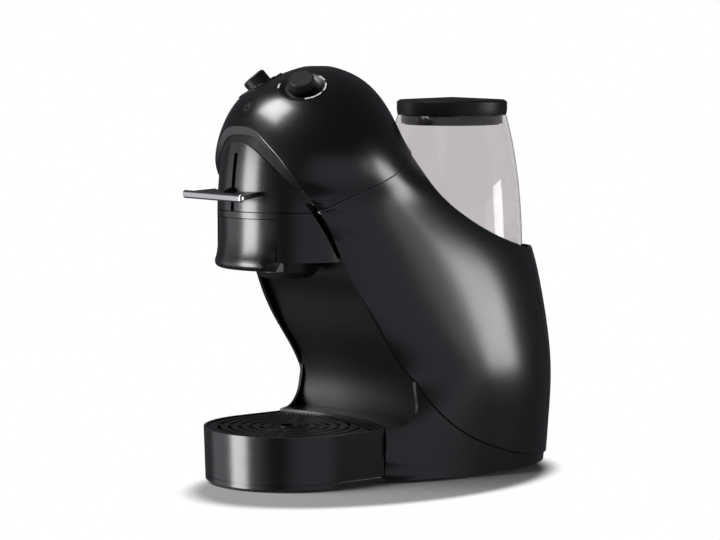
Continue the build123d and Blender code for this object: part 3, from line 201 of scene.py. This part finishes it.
def smooth_body(rows=300, columns=256):
    """Points, normals and faces of the dense body: half ellipses in front, fuller curves behind."""
    chord = np.sqrt((np.diff(SECTIONS[:, [0, 1, 3, 4]], axis=0) ** 2 * (1, 1, 0.5, 0.5)).sum(1))
    knots = np.concatenate([[0], np.cumsum(chord)])
    sizes = smooth_through(knots, SECTIONS, np.linspace(0, knots[-1], rows))
    angle = np.linspace(0, 2 * np.pi, columns, endpoint=False)
    z, wide, middle, front, rear, full = [column[:, None] for column in sizes.T]
    behind = np.sin(angle) > 0
    power = np.where(behind, 2 / full, 1.0)
    x = wide * np.sign(np.cos(angle)) * np.abs(np.cos(angle)) ** power
    half_depth = np.where(behind, rear - middle, middle - front)
    y = middle + half_depth * np.sign(np.sin(angle)) * np.abs(np.sin(angle)) ** power
    points = np.stack([x, y, np.broadcast_to(z, x.shape)], -1) * MM
    across = np.roll(points, -1, 1) - np.roll(points, 1, 1)
    along = np.gradient(points, axis=0)
    normals = np.cross(across, along)
    normals /= np.linalg.norm(normals, axis=-1, keepdims=True) + 1e-12
    index = np.arange(rows * columns).reshape(rows, columns)
    nxt = np.roll(index, -1, 1)
    quads = np.stack([index[:-1], nxt[:-1], nxt[1:], index[1:]], -1).reshape(-1, 4)
    return points.reshape(-1, 3), normals.reshape(-1, 3), quads


body_points, body_normals, body_quads = smooth_body()
body_tree = BVHTree.FromPolygons(body_points.tolist(), body_quads.tolist())


def ramp(value, low, high):
    """Smooth step from 0 at low to 1 at high."""
    share = min(max((value - low) / (high - low), 0.0), 1.0)
    return share * share * (3 - 2 * share)


def borrowed_normal(point, normal, reach):
    """The smooth body's normal near a point, and how much of it to take: none off the body's outside."""
    spot, _, quad, gap = body_tree.find_nearest(point, reach)
    if spot is None:
        return normal, 0.0
    corners = body_quads[quad]
    weight = 1 / (np.linalg.norm(body_points[corners] - np.array(spot), axis=1) + 1e-6)
    smooth = Vector((weight[:, None] * body_normals[corners]).sum(0)).normalized()
    return smooth, ramp(smooth.dot(normal), 0.86, 0.95) * ramp(gap, reach, 0.75 * reach)


print("smooth body:", len(body_quads), "faces")

# %% [markdown]
# A CAD node arrives as loose triangles. A skin is a merged copy of it: its corners are joined, its faces
# are shaded smooth, and edges that turn sharply stay sharp. The skin rides on the node's body and stands
# for it.

# %% Skin helper
def skin(name, finish, sharp=32, reach=0.0):
    """A merged, smooth copy of a CAD node, which stands for the node on its body."""
    mesh = frame["nodes"][name].data.copy()
    mesh.name = name + "_skin"
    if "custom_normal" in mesh.attributes:
        mesh.attributes.remove(mesh.attributes["custom_normal"])
    shape = bmesh.new()
    shape.from_mesh(mesh)
    bmesh.ops.remove_doubles(shape, verts=shape.verts, dist=3e-6)
    bmesh.ops.dissolve_degenerate(shape, edges=shape.edges, dist=1e-7)
    for face in shape.faces:
        face.smooth = True
    for edge in shape.edges:
        edge.smooth = len(edge.link_faces) == 2 and edge.calc_face_angle(0) < math.radians(sharp)
    shape.to_mesh(mesh)
    shape.free()
    mesh.materials.clear()
    mesh.materials.append(finish)
    if reach > 0:
        normals = [corner.vector.copy() for corner in mesh.corner_normals]
        for face in mesh.polygons:
            for loop in face.loop_indices:
                point = mesh.vertices[mesh.loops[loop].vertex_index].co
                better, share = borrowed_normal(point, face.normal, reach)
                normals[loop] = normals[loop].lerp(better, share).normalized()
        mesh.normals_split_custom_set(normals)
    piece = bpy.data.objects.new(name + "_skin", mesh)
    bpy.context.scene.collection.objects.link(piece)
    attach(piece, node_body[name])
    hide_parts(name)
    return piece


print("skin helper ready")

# %% [markdown]
# The hood, the panels, the rear cover and the base are the large gloss shells. Their outsides lie on the
# smooth body, so they borrow its normals within a short reach. The face of the brew head has its own
# round form and keeps the normals of its mesh.

# %% Covers
COVER_REACH = 1.2 * MM
BASE_REACH = 2.4 * MM
for name in ("hood", "side_panel_left", "side_panel_right", "rear_cover"):
    skin(name, piano_black, reach=COVER_REACH)
skin("base_shell", piano_black, reach=BASE_REACH)
for name in ("lever_fascia", "brew_shroud", "drip_tray"):
    skin(name, face_black)
skin("hood_trim", column_black)
drawer_face = skin("drawer_front", face_black)

# %% [markdown]
# A dial's ring lies on the round hood. The CAD ring is flat and tilted a little against the hood, so one
# edge of it sinks in and the other stands proud. Here the dish and the rim are shifted along the dial's
# shaft until the rim follows the smooth body all round.

# %% Dial rings
RING_DISH = 12.9 * MM
RING_BAND = 3.6 * MM
RING_RIM = 17.2 * MM
RING_SINK = 0.2 * MM
RING_FLOOR = -0.5 * MM
RAY_START = 30 * MM
PICTURE_RIGHT = (0.63, 0.78, 0)


def frame_on(centre, axis, across):
    """A local frame: its Z along an axis, its X as near as possible to a direction across it."""
    up = Vector(axis).normalized()
    right = (Vector(across) - up * up.dot(Vector(across))).normalized()
    turn = Matrix((right, up.cross(right), up)).transposed().to_4x4()
    return Matrix.Translation(Vector(centre)) @ turn


def dial_frame(label):
    """A dial's local frame: Z along its shaft. The left dial is the mirror image of the right one."""
    dial = joints["dial_" + label + "_turn"]
    x, y, z = PICTURE_RIGHT
    return frame_on(dial["pos_m"], dial["axis"], (x, y if label == "right" else -y, z))


def hug(mesh, place):
    """Shift a ring's dish and rim along the shaft, so that the rim follows the hood."""
    back = place.inverted()
    down = -place.col[2].xyz
    for vert in mesh.vertices:
        spot = back @ vert.co
        reach = spot.xy.length
        if spot.z < RING_FLOOR or reach < RING_DISH:
            continue
        above = place @ Vector((spot.x * RING_RIM / reach, spot.y * RING_RIM / reach, RAY_START))
        level = (back @ body_tree.ray_cast(above, down)[0]).z
        share = min((reach - RING_DISH) / RING_BAND, 1.0)
        spot.z += share * (level - RING_SINK)
        vert.co = place @ spot


for label in ("left", "right"):
    hug(skin("dial_bezel_" + label, satin_black).data, dial_frame(label))

# %% [markdown]
# The smaller pieces are moulded, turned or chromed parts of plain form, so a merged copy with the right
# finish is enough. The power button is cut from the hood's surface and borrows its normals.

# %% Knobs, button, lever, grid, tank and seals
skin("power_button", piano_black, reach=COVER_REACH)
skin("column_wall", column_black)
for name in ("dial_knob_left", "dial_knob_right", "tank_lid", "capsule_holder", "spout_ring"):
    skin(name, satin_black)
skin("lever_arm", sheen_black)
skin("drip_grid", grid_black)
skin("lever_bar", chrome)
skin("water_tank", clear_plastic)
for name in ("lid_seal", "rubber_feet", "plunger_seal"):
    skin(name, soft_rubber)
for name in ("tank_bay", "tank_deck", "cord_gland"):
    skin(name, satin_black)

# %% [markdown]
# The drawer's lip flares out at the bottom and dies away towards the drawer's two ends, where it runs
# flush into the shroud. The lip's points near the ends are drawn in towards the shroud's round face.

# %% Lip of the drawer
FACE_AXIS = Vector((0, -74.5 * MM, 0))
FACE_RADIUS = 56.7 * MM
LIP_FADE = math.radians(10)


def around_face(point):
    """Angle from straight ahead and distance from the upright axis of the brew head's face."""
    flat = (point - FACE_AXIS) * Vector((1, 1, 0))
    return math.atan2(abs(flat.x), -flat.y), flat.length


lip_spots = [around_face(vert.co) for vert in drawer_face.data.vertices]
lip_end = max(angle for angle, radius in lip_spots if radius > FACE_RADIUS)
for vert in drawer_face.data.vertices:
    angle, radius = around_face(vert.co)
    if radius > FACE_RADIUS:
        share = 1 - ramp(angle, lip_end - LIP_FADE, lip_end)
        scale = (FACE_RADIUS + (radius - FACE_RADIUS) * share) / radius
        vert.co.x *= scale
        vert.co.y = FACE_AXIS.y + (vert.co.y - FACE_AXIS.y) * scale
print("lip ends at", round(math.degrees(lip_end)), "degrees from the front")

# %% [markdown]
# Small pieces that repeat or follow a line are made with Geometry Nodes: the bright metal bead along the
# hood's rim and the panels' front edges, which is a painted highlight line, the arc marks of the dials, and
# the row of teeth behind the drip grid. Each tree has named inputs for its sizes. Its result is turned into a
# plain mesh, so the export keeps it.

# %% Geometry Nodes helpers
def new_tree(name, sizes):
    """A tree with a geometry in and out and one named size for each entry."""
    tree = bpy.data.node_groups.new(name, "GeometryNodeTree")
    tree.interface.new_socket("Geometry", in_out="INPUT", socket_type="NodeSocketGeometry")
    for size in sizes:
        tree.interface.new_socket(size, in_out="INPUT", socket_type="NodeSocketFloat")
    tree.interface.new_socket("Geometry", in_out="OUTPUT", socket_type="NodeSocketGeometry")
    start = tree.nodes.new("NodeGroupInput")
    end = tree.nodes.new("NodeGroupOutput")
    return tree, start, end


def close_tree(tree, shape, finish, end):
    """Every tree ends in real geometry with its finish set."""
    real = tree.nodes.new("GeometryNodeRealizeInstances")
    paint = tree.nodes.new("GeometryNodeSetMaterial")
    paint.inputs["Material"].default_value = finish
    tree.links.new(shape, real.inputs["Geometry"])
    tree.links.new(real.outputs["Geometry"], paint.inputs["Geometry"])
    tree.links.new(paint.outputs["Geometry"], end.inputs["Geometry"])


def grown(name, tree, start, values):
    """The plain mesh that a tree makes from a start object with these sizes."""
    bpy.context.scene.collection.objects.link(start)
    modifier = start.modifiers.new(name, "NODES")
    modifier.node_group = tree
    for item in tree.interface.items_tree:
        if item.item_type == "SOCKET" and item.in_out == "INPUT" and item.name in values:
            modifier[item.identifier] = float(values[item.name])
    bpy.context.view_layer.update()
    ready = start.evaluated_get(bpy.context.evaluated_depsgraph_get())
    mesh = bpy.data.meshes.new_from_object(ready)
    start.modifiers.remove(modifier)
    bpy.data.objects.remove(start)
    mesh.name = name
    return mesh


def piece_from(name, meshes, body, finish, places=None):
    """One object from one or more plain meshes, each moved to its place in the mesh itself."""
    shape = bmesh.new()
    for k, mesh in enumerate(meshes):
        if places:
            mesh.transform(places[k])
        shape.from_mesh(mesh)
    for face in shape.faces:
        face.smooth = True
        face.material_index = 0
    bmesh.ops.recalc_face_normals(shape, faces=shape.faces)
    joined = bpy.data.meshes.new(name)
    shape.to_mesh(joined)
    shape.free()
    joined.materials.append(finish)
    joined.set_sharp_from_angle(angle=math.radians(40))
    piece = bpy.data.objects.new(name, joined)
    bpy.context.scene.collection.objects.link(piece)
    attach(piece, body)
    return piece


def line_of(points):
    """A polyline curve object through points, as the start of a tree."""
    curve = bpy.data.curves.new("line", "CURVE")
    curve.dimensions = "3D"
    spline = curve.splines.new("POLY")
    spline.points.add(len(points) - 1)
    for spot, point in zip(spline.points, points):
        spot.co = (*point, 1)
    return bpy.data.objects.new("line", curve)


print("Geometry Nodes helpers ready")

# %% [markdown]
# The covers end in a fine glossy edge round the face of the machine, which catches a line of light. It
# could be bevelled on each shell, but here a thin rod in a bright grey metal finish is swept along the edge:
# its brightness is a painted highlight line, and the shells are left alone. The line is found on the shell
# itself: it runs where the outside meets the cut that faces forward.

# %% Bead tree
BEAD_STEP = 2.0 * MM
bead_tree, bead_in, bead_out = new_tree("edge_bead", ["Bead Radius"])
even = bead_tree.nodes.new("GeometryNodeResampleCurve")
even.mode = "LENGTH"
even.inputs["Length"].default_value = BEAD_STEP
rod = bead_tree.nodes.new("GeometryNodeCurvePrimitiveCircle")
rod.inputs["Resolution"].default_value = 12
sweep = bead_tree.nodes.new("GeometryNodeCurveToMesh")
sweep.inputs["Fill Caps"].default_value = True
bead_tree.links.new(bead_in.outputs["Geometry"], even.inputs["Curve"])
bead_tree.links.new(bead_in.outputs["Bead Radius"], rod.inputs["Radius"])
bead_tree.links.new(even.outputs["Curve"], sweep.inputs["Curve"])
bead_tree.links.new(rod.outputs["Curve"], sweep.inputs["Profile Curve"])
close_tree(bead_tree, sweep.outputs["Mesh"], painted_edge_highlight, bead_out)
print("bead tree:", len(bead_tree.nodes), "nodes")

# %% Beads on the front edges of the covers
BEAD_SIDE_DEPTH = 0.45 * MM
BEAD_FRONT_DEPTH = 0.35 * MM
HOOD_BEAD_RADIUS = 0.75 * MM
PANEL_BEAD_RADIUS = 0.6 * MM
HOOD_BEAD_LOW, HOOD_BEAD_HIGH = 203.5 * MM, 264.5 * MM
HOOD_ARCH_MIDDLE = 190 * MM
PANEL_BEAD_LOW = 74 * MM


def front_edge(name):
    """The outer front edge of a cover: where its outside meets its forward-facing cut."""
    shape = bmesh.new()
    shape.from_mesh(bpy.data.objects[name + "_skin"].data)
    found = {}
    for edge in shape.edges:
        if len(edge.link_faces) != 2:
            continue
        for cut, side in (edge.link_faces, reversed(edge.link_faces)):
            forward = abs(cut.normal.x) < 0.03 and cut.normal.y < -0.3
            outward = abs(side.normal.x) > 0.05 or side.normal.z > 0.3
            away = side.normal.x * edge.verts[0].co.x > -1e-4
            if forward and outward and away and cut.normal.dot(side.normal) < 0.85:
                sink = BEAD_SIDE_DEPTH * side.normal + BEAD_FRONT_DEPTH * cut.normal
                for vert in edge.verts:
                    found[vert.index] = (vert.co - sink).to_tuple()
    shape.free()
    return list(found.values())


bead_meshes = []
hood_line = [point for point in front_edge("hood") if HOOD_BEAD_LOW < point[2] < HOOD_BEAD_HIGH]
hood_line.sort(key=lambda point: math.atan2(point[2] - HOOD_ARCH_MIDDLE, point[0]))
bead_meshes.append(grown("hood_bead", bead_tree, line_of(hood_line), {"Bead Radius": HOOD_BEAD_RADIUS}))
for name in ("side_panel_left", "side_panel_right"):
    panel_line = [point for point in front_edge(name) if point[2] > PANEL_BEAD_LOW]
    panel_line.sort(key=lambda point: -point[2])
    panel_bead = grown(name + "_bead", bead_tree, line_of(panel_line), {"Bead Radius": PANEL_BEAD_RADIUS})
    bead_meshes.append(panel_bead)
piece_from("edge_beads", bead_meshes, "root", painted_edge_highlight)
print("beads:", len(hood_line), "points on the hood rim")

# %% [markdown]
# Each dial has a dished ring with four white bars that get longer round the ring, and the power button
# has the usual open ring with a stroke. A short arc swept with a flat profile makes every one of them.

# %% Arc mark tree
arc_tree, arc_in, arc_out = new_tree("arc_mark", ["Radius", "Start", "Sweep", "Width", "Height"])
arc = arc_tree.nodes.new("GeometryNodeCurveArc")
arc.mode = "RADIUS"
arc.inputs["Resolution"].default_value = 24
bar = arc_tree.nodes.new("GeometryNodeCurvePrimitiveQuadrilateral")
draw = arc_tree.nodes.new("GeometryNodeCurveToMesh")
draw.inputs["Fill Caps"].default_value = True
arc_tree.links.new(arc_in.outputs["Radius"], arc.inputs["Radius"])
arc_tree.links.new(arc_in.outputs["Start"], arc.inputs["Start Angle"])
arc_tree.links.new(arc_in.outputs["Sweep"], arc.inputs["Sweep Angle"])
arc_tree.links.new(arc_in.outputs["Width"], bar.inputs["Width"])
arc_tree.links.new(arc_in.outputs["Height"], bar.inputs["Height"])
arc_tree.links.new(arc.outputs["Curve"], draw.inputs["Curve"])
arc_tree.links.new(bar.outputs["Curve"], draw.inputs["Profile Curve"])
close_tree(arc_tree, draw.outputs["Mesh"], mark_white, arc_out)
print("arc tree:", len(arc_tree.nodes), "nodes")


def arc_mesh(name, radius, middle, sweep_deg, width, height):
    """A flat arc mark round the origin, with its middle at an angle in degrees."""
    seed = bpy.data.objects.new(name, bpy.data.meshes.new(name))
    start = math.radians(middle - sweep_deg / 2)
    return grown(name, arc_tree, seed, {"Radius": radius, "Start": start, "Sweep": math.radians(sweep_deg),
                                        "Width": width, "Height": height})


# %% Dial marks
# Each mark: the angle of its middle on the ring, and its sweep, in degrees.
MARKS = [(172, 22), (33, 24), (-8, 34), (-58, 48)]
MARK_RADIUS = 17.05 * MM
MARK_WIDTH = 1.1 * MM
MARK_THICKNESS = 0.3 * MM
MARK_LIFT = 0.74 * MM
for label in ("right", "left"):
    place = dial_frame(label)
    lift = Matrix.Translation((0, 0, MARK_LIFT))
    bars = []
    for middle, sweep_deg in MARKS:
        turned = middle if label == "right" else 180 - middle
        bars.append(arc_mesh("dial_bar", MARK_RADIUS, turned, sweep_deg, MARK_WIDTH, MARK_THICKNESS))
    places = [place @ lift] * len(bars)
    marks = piece_from("dial_marks_" + label, bars, "root", mark_white, places)
    hug(marks.data, place)
print("dial marks:", len(MARKS), "on each ring")

# %% [markdown]
# The button's sign is printed on its dome. The ring and the stroke are made flat, then every point is
# dropped on the smooth body along the way the button is pressed, so the sign follows the dome and moves
# with the button.

# %% Power sign on the button
press = Vector(joints["power_press"]["axis"])
button_spot = Vector((0, -117.5 * MM, 273 * MM))
SIGN_RADIUS = 2.7 * MM
SIGN_SWEEP = 300
SIGN_LINE = 0.5 * MM
SIGN_THICKNESS = 0.16 * MM
SIGN_RAY = 20 * MM
SIGN_RISE = 0.07 * MM
SIGN_FLATTEN = 0.6
sign_place = frame_on(button_spot, -press, (1, 0, 0))
ring = arc_mesh("sign_ring", SIGN_RADIUS, 270, SIGN_SWEEP, SIGN_LINE, SIGN_THICKNESS)
stroke_line = line_of([(0, 1.0 * MM, 0), (0, 2.2 * MM, 0), (0, 3.3 * MM, 0)])
stroke = grown("sign_stroke", bead_tree, stroke_line, {"Bead Radius": SIGN_LINE / 2})
sign = piece_from("power_sign", [ring, stroke], "button", icon_grey, [sign_place] * 2)
for vert in sign.data.vertices:
    level = (vert.co - button_spot).dot(-press)
    hit, _, _, _ = body_tree.ray_cast(vert.co - press * SIGN_RAY, press)
    vert.co = hit - press * (level * SIGN_FLATTEN + SIGN_RISE)
print("power sign:", len(sign.data.polygons), "faces")

# %% [markdown]
# Behind the drip grid a comb of small teeth lets the spill run into the tray. One tooth is instanced
# along the arc of the grid's rear edge.

# %% Teeth behind the grid
TOOTH_SIZES = ["Pitch", "Tooth Width", "Tooth Depth", "Tooth Height"]
teeth_tree, teeth_in, teeth_out = new_tree("grid_teeth", TOOTH_SIZES)
step = teeth_tree.nodes.new("GeometryNodeResampleCurve")
step.mode = "LENGTH"
block = teeth_tree.nodes.new("GeometryNodeMeshCube")
size = teeth_tree.nodes.new("ShaderNodeCombineXYZ")
put = teeth_tree.nodes.new("GeometryNodeInstanceOnPoints")
along = teeth_tree.nodes.new("GeometryNodeInputTangent")
turn = teeth_tree.nodes.new("FunctionNodeAlignRotationToVector")
turn.axis = "X"
turn.pivot_axis = "Z"
teeth_tree.links.new(teeth_in.outputs["Geometry"], step.inputs["Curve"])
teeth_tree.links.new(teeth_in.outputs["Pitch"], step.inputs["Length"])
for socket, source in (("X", "Tooth Width"), ("Y", "Tooth Depth"), ("Z", "Tooth Height")):
    teeth_tree.links.new(teeth_in.outputs[source], size.inputs[socket])
teeth_tree.links.new(size.outputs["Vector"], block.inputs["Size"])
teeth_tree.links.new(step.outputs["Curve"], put.inputs["Points"])
teeth_tree.links.new(block.outputs["Mesh"], put.inputs["Instance"])
teeth_tree.links.new(along.outputs["Tangent"], turn.inputs["Vector"])
teeth_tree.links.new(turn.outputs["Rotation"], put.inputs["Rotation"])
close_tree(teeth_tree, put.outputs["Instances"], satin_black, teeth_out)
print("teeth tree:", len(teeth_tree.nodes), "nodes")


def rear_arc(half, rear, bulge, z, count=80):
    """Points along the arc behind the grid, from its left end to its right end."""
    radius = (half ** 2 + bulge ** 2) / (2 * bulge)
    xs = np.linspace(-half, half, count)
    return [(x, rear + bulge - radius + math.sqrt(radius ** 2 - x ** 2), z) for x in xs]


GRID_HALF_WIDTH = 54 * MM
GRID_REAR_Y = -47.6 * MM
GRID_BULGE = 13.2 * MM
TOOTH_LEVEL = 39.4 * MM
tooth_line = rear_arc(GRID_HALF_WIDTH, GRID_REAR_Y, GRID_BULGE, TOOTH_LEVEL)
teeth = grown("grid_teeth", teeth_tree, line_of(tooth_line),
              {"Pitch": 3.4 * MM, "Tooth Width": 1.5 * MM, "Tooth Depth": 2.6 * MM, "Tooth Height": 0.9 * MM})
piece_from("grid_teeth", [teeth], "grid", satin_black)
print("teeth:", len(teeth.polygons) // 6)

# %% [markdown]
# The machine stands on a white table that runs into a white backdrop. A wide disc glows white beyond an
# oval, so no horizon shows. Within the oval, which is shifted a little toward the camera, the disc is dark
# grey and matt: a painted shade round the foot, which also takes the machine's real shadow. Gloss plastic
# would mirror the whole table, so the disc is left out of reflections.

# %% Floor
FLOOR_RADIUS = 7.0
SHADE_MIDDLE = (0.039, -0.030, 0)
SHADE_HALF_SIZES = (0.088, 0.14, 1)
SHADE_END = 1.18


def stage_floor():
    """The table disc: dark matt within the oval, a painted shade that also takes the real shadow; white light
    outside it.
    """
    mesh = bpy.data.meshes.new("floor")
    shape = bmesh.new()
    bmesh.ops.create_circle(shape, cap_ends=True, segments=96, radius=FLOOR_RADIUS)
    shape.to_mesh(mesh)
    shape.free()
    material = bpy.data.materials.new("pale_floor")
    material.use_nodes = True
    nodes = material.node_tree.nodes
    nodes.remove(nodes["Principled BSDF"])
    matt = nodes.new("ShaderNodeBsdfDiffuse")
    # The dark grey matt colour is a painted shade round the foot; the real shadow falls on it too.
    matt.inputs["Color"].default_value = (0.45, 0.45, 0.46, 1)
    glow = nodes.new("ShaderNodeEmission")
    place = nodes.new("ShaderNodeTexCoord")
    oval = nodes.new("ShaderNodeMapping")
    oval.vector_type = "TEXTURE"
    oval.inputs["Location"].default_value = SHADE_MIDDLE
    oval.inputs["Scale"].default_value = SHADE_HALF_SIZES
    link(material, place.outputs["Object"], oval.inputs["Vector"])
    far = nodes.new("ShaderNodeVectorMath")
    far.operation = "LENGTH"
    link(material, oval.outputs["Vector"], far.inputs[0])
    fade = nodes.new("ShaderNodeMapRange")
    fade.interpolation_type = "SMOOTHSTEP"
    fade.inputs["From Min"].default_value = 1.0
    fade.inputs["From Max"].default_value = SHADE_END
    link(material, far.outputs["Value"], fade.inputs["Value"])
    path = nodes.new("ShaderNodeLightPath")
    seen = nodes.new("ShaderNodeMath")
    seen.operation = "MAXIMUM"
    link(material, path.outputs["Is Camera Ray"], seen.inputs[0])
    link(material, path.outputs["Is Transmission Ray"], seen.inputs[1])
    share = nodes.new("ShaderNodeMath")
    share.operation = "MULTIPLY"
    link(material, fade.outputs["Result"], share.inputs[0])
    link(material, seen.outputs["Value"], share.inputs[1])
    mix = nodes.new("ShaderNodeMixShader")
    link(material, share.outputs["Value"], mix.inputs["Fac"])
    link(material, matt.outputs["BSDF"], mix.inputs[1])
    link(material, glow.outputs["Emission"], mix.inputs[2])
    link(material, mix.outputs["Shader"], nodes["Material Output"].inputs["Surface"])
    mesh.materials.append(material)
    floor = bpy.data.objects.new("floor", mesh)
    bpy.context.scene.collection.objects.link(floor)
    floor.visible_glossy = False
    floor.visible_shadow = False


stage_floor()
print("floor radius:", FLOOR_RADIUS, "m")

# %% [markdown]
# A dark machine is drawn by what it mirrors. The room is dim, with two soft low glows, one on the right
# and one ahead on the left, which lift the lower panels and the tray. Seen directly or through the clear
# tank, the backdrop is white.

# %% Room
ROOM_DIM = 0.055
ROOM_GLOW = 0.33
RIGHT_GLOW_WAY = (0.996, -0.087, 0)
LEFT_GLOW_WAY = (-0.42, -0.91, 0)


def glow_share(world, place, way, start, full):
    """How far a direction lies within a soft glow round one way."""
    nodes = world.node_tree.nodes
    links = world.node_tree.links
    along = nodes.new("ShaderNodeVectorMath")
    along.operation = "DOT_PRODUCT"
    along.inputs[1].default_value = way
    links.new(place.outputs["Generated"], along.inputs[0])
    share = nodes.new("ShaderNodeMapRange")
    share.interpolation_type = "SMOOTHSTEP"
    share.inputs["From Min"].default_value = start
    share.inputs["From Max"].default_value = full
    links.new(along.outputs["Value"], share.inputs["Value"])
    return share


def studio_world():
    """The room that the plastic mirrors, with a white backdrop for the camera and the clear tank."""
    world = bpy.data.worlds.new("studio")
    world.use_nodes = True
    bpy.context.scene.world = world
    nodes = world.node_tree.nodes
    links = world.node_tree.links
    room = nodes["Background"]
    room.inputs["Color"].default_value = (0.86, 0.9, 1.0, 1)
    place = nodes.new("ShaderNodeTexCoord")
    split = nodes.new("ShaderNodeSeparateXYZ")
    links.new(place.outputs["Generated"], split.inputs["Vector"])
    low = nodes.new("ShaderNodeMapRange")
    low.interpolation_type = "SMOOTHSTEP"
    low.inputs["From Min"].default_value = 0.16
    low.inputs["From Max"].default_value = -0.04
    links.new(split.outputs["Z"], low.inputs["Value"])
    right = glow_share(world, place, RIGHT_GLOW_WAY, 0.70, 0.95)
    left = glow_share(world, place, LEFT_GLOW_WAY, 0.55, 0.85)
    either = nodes.new("ShaderNodeMath")
    either.operation = "MAXIMUM"
    links.new(right.outputs["Result"], either.inputs[0])
    links.new(left.outputs["Result"], either.inputs[1])
    table = nodes.new("ShaderNodeMath")
    table.operation = "MULTIPLY"
    links.new(low.outputs["Result"], table.inputs[0])
    links.new(either.outputs["Value"], table.inputs[1])
    level = nodes.new("ShaderNodeMapRange")
    level.inputs["To Min"].default_value = ROOM_DIM
    level.inputs["To Max"].default_value = ROOM_GLOW
    links.new(table.outputs["Value"], level.inputs["Value"])
    links.new(level.outputs["Result"], room.inputs["Strength"])
    white = nodes.new("ShaderNodeBackground")
    white.inputs["Color"].default_value = (1, 1, 1, 1)
    path = nodes.new("ShaderNodeLightPath")
    seen = nodes.new("ShaderNodeMath")
    seen.operation = "MAXIMUM"
    links.new(path.outputs["Is Camera Ray"], seen.inputs[0])
    links.new(path.outputs["Is Transmission Ray"], seen.inputs[1])
    mix = nodes.new("ShaderNodeMixShader")
    links.new(seen.outputs["Value"], mix.inputs["Fac"])
    links.new(room.outputs["Background"], mix.inputs[1])
    links.new(white.outputs["Background"], mix.inputs[2])
    links.new(mix.outputs["Shader"], nodes["World Output"].inputs["Surface"])


studio_world()
print("room nodes:", len(bpy.context.scene.world.node_tree.nodes))

# %% [markdown]
# Rectangular softboxes make the bright shapes on the plastic. A tall strip ahead on the left lights the
# face, the drawer and the tray, with a weak wide box beside it. A box above puts the round spot on the
# hood, and two low lamps behind on the right draw the long highlight down the side panel. Each is placed
# by its angle round the machine, and no lamp shows in the picture itself.

# %% Lamps
def softbox(name, azimuth, height, distance, wide, tall, watts, aim):
    """A rectangular lamp at an angle round the machine, turned towards a point on it."""
    lamp = bpy.data.lights.new(name, "AREA")
    lamp.shape = "RECTANGLE"
    lamp.size = wide
    lamp.size_y = tall
    lamp.energy = watts
    turn = math.radians(azimuth)
    holder = bpy.data.objects.new(name, lamp)
    holder.location = (distance * math.sin(turn), -distance * math.cos(turn), height)
    look = Vector(aim) - holder.location
    holder.rotation_euler = look.to_track_quat("-Z", "Y").to_euler()
    holder.visible_camera = False
    bpy.context.scene.collection.objects.link(holder)


softbox("key_strip", -17, 0.07, 1.5, 0.62, 1.02, 16, aim=(0, 0, 0.07))
softbox("key_halo", -46, 0.1, 1.55, 1.3, 1.0, 1.1, aim=(0, 0, 0.1))
softbox("hood_box", -20, 1.66, 0.98, 0.85, 0.8, 24, aim=(0, -0.05, 0.28))
softbox("rim_core", 135, 0.22, 1.5, 0.5, 0.3, 2.8, aim=(0, 0, 0.16))
softbox("rim_wide", 126, 0.17, 1.55, 1.0, 0.3, 0.8, aim=(0, 0, 0.16))
print("lamps:", len(bpy.data.lights))

# %% [markdown]
# The photograph was taken from a little above, about 51 degrees round from the front, with a long lens.
# The camera stands there, so that the picture can be laid beside the photograph.

# %% Camera
CAMERA_SPOT = (1.4993, -1.2276, 0.328)
CAMERA_AZIMUTH = 51
CAMERA_DIP = 5.27
LENS_LENGTH = 130.0
lens = bpy.data.cameras.new("photo_camera")
lens.sensor_width = 36.0
lens.lens = LENS_LENGTH
camera = bpy.data.objects.new("photo_camera", lens)
camera.location = CAMERA_SPOT
camera.rotation_euler = (math.radians(90 - CAMERA_DIP), 0, math.radians(CAMERA_AZIMUTH))
bpy.context.scene.collection.objects.link(camera)
bpy.context.scene.camera = camera
bpy.context.scene.view_settings.view_transform = "Standard"
print("camera:", LENS_LENGTH, "mm lens")
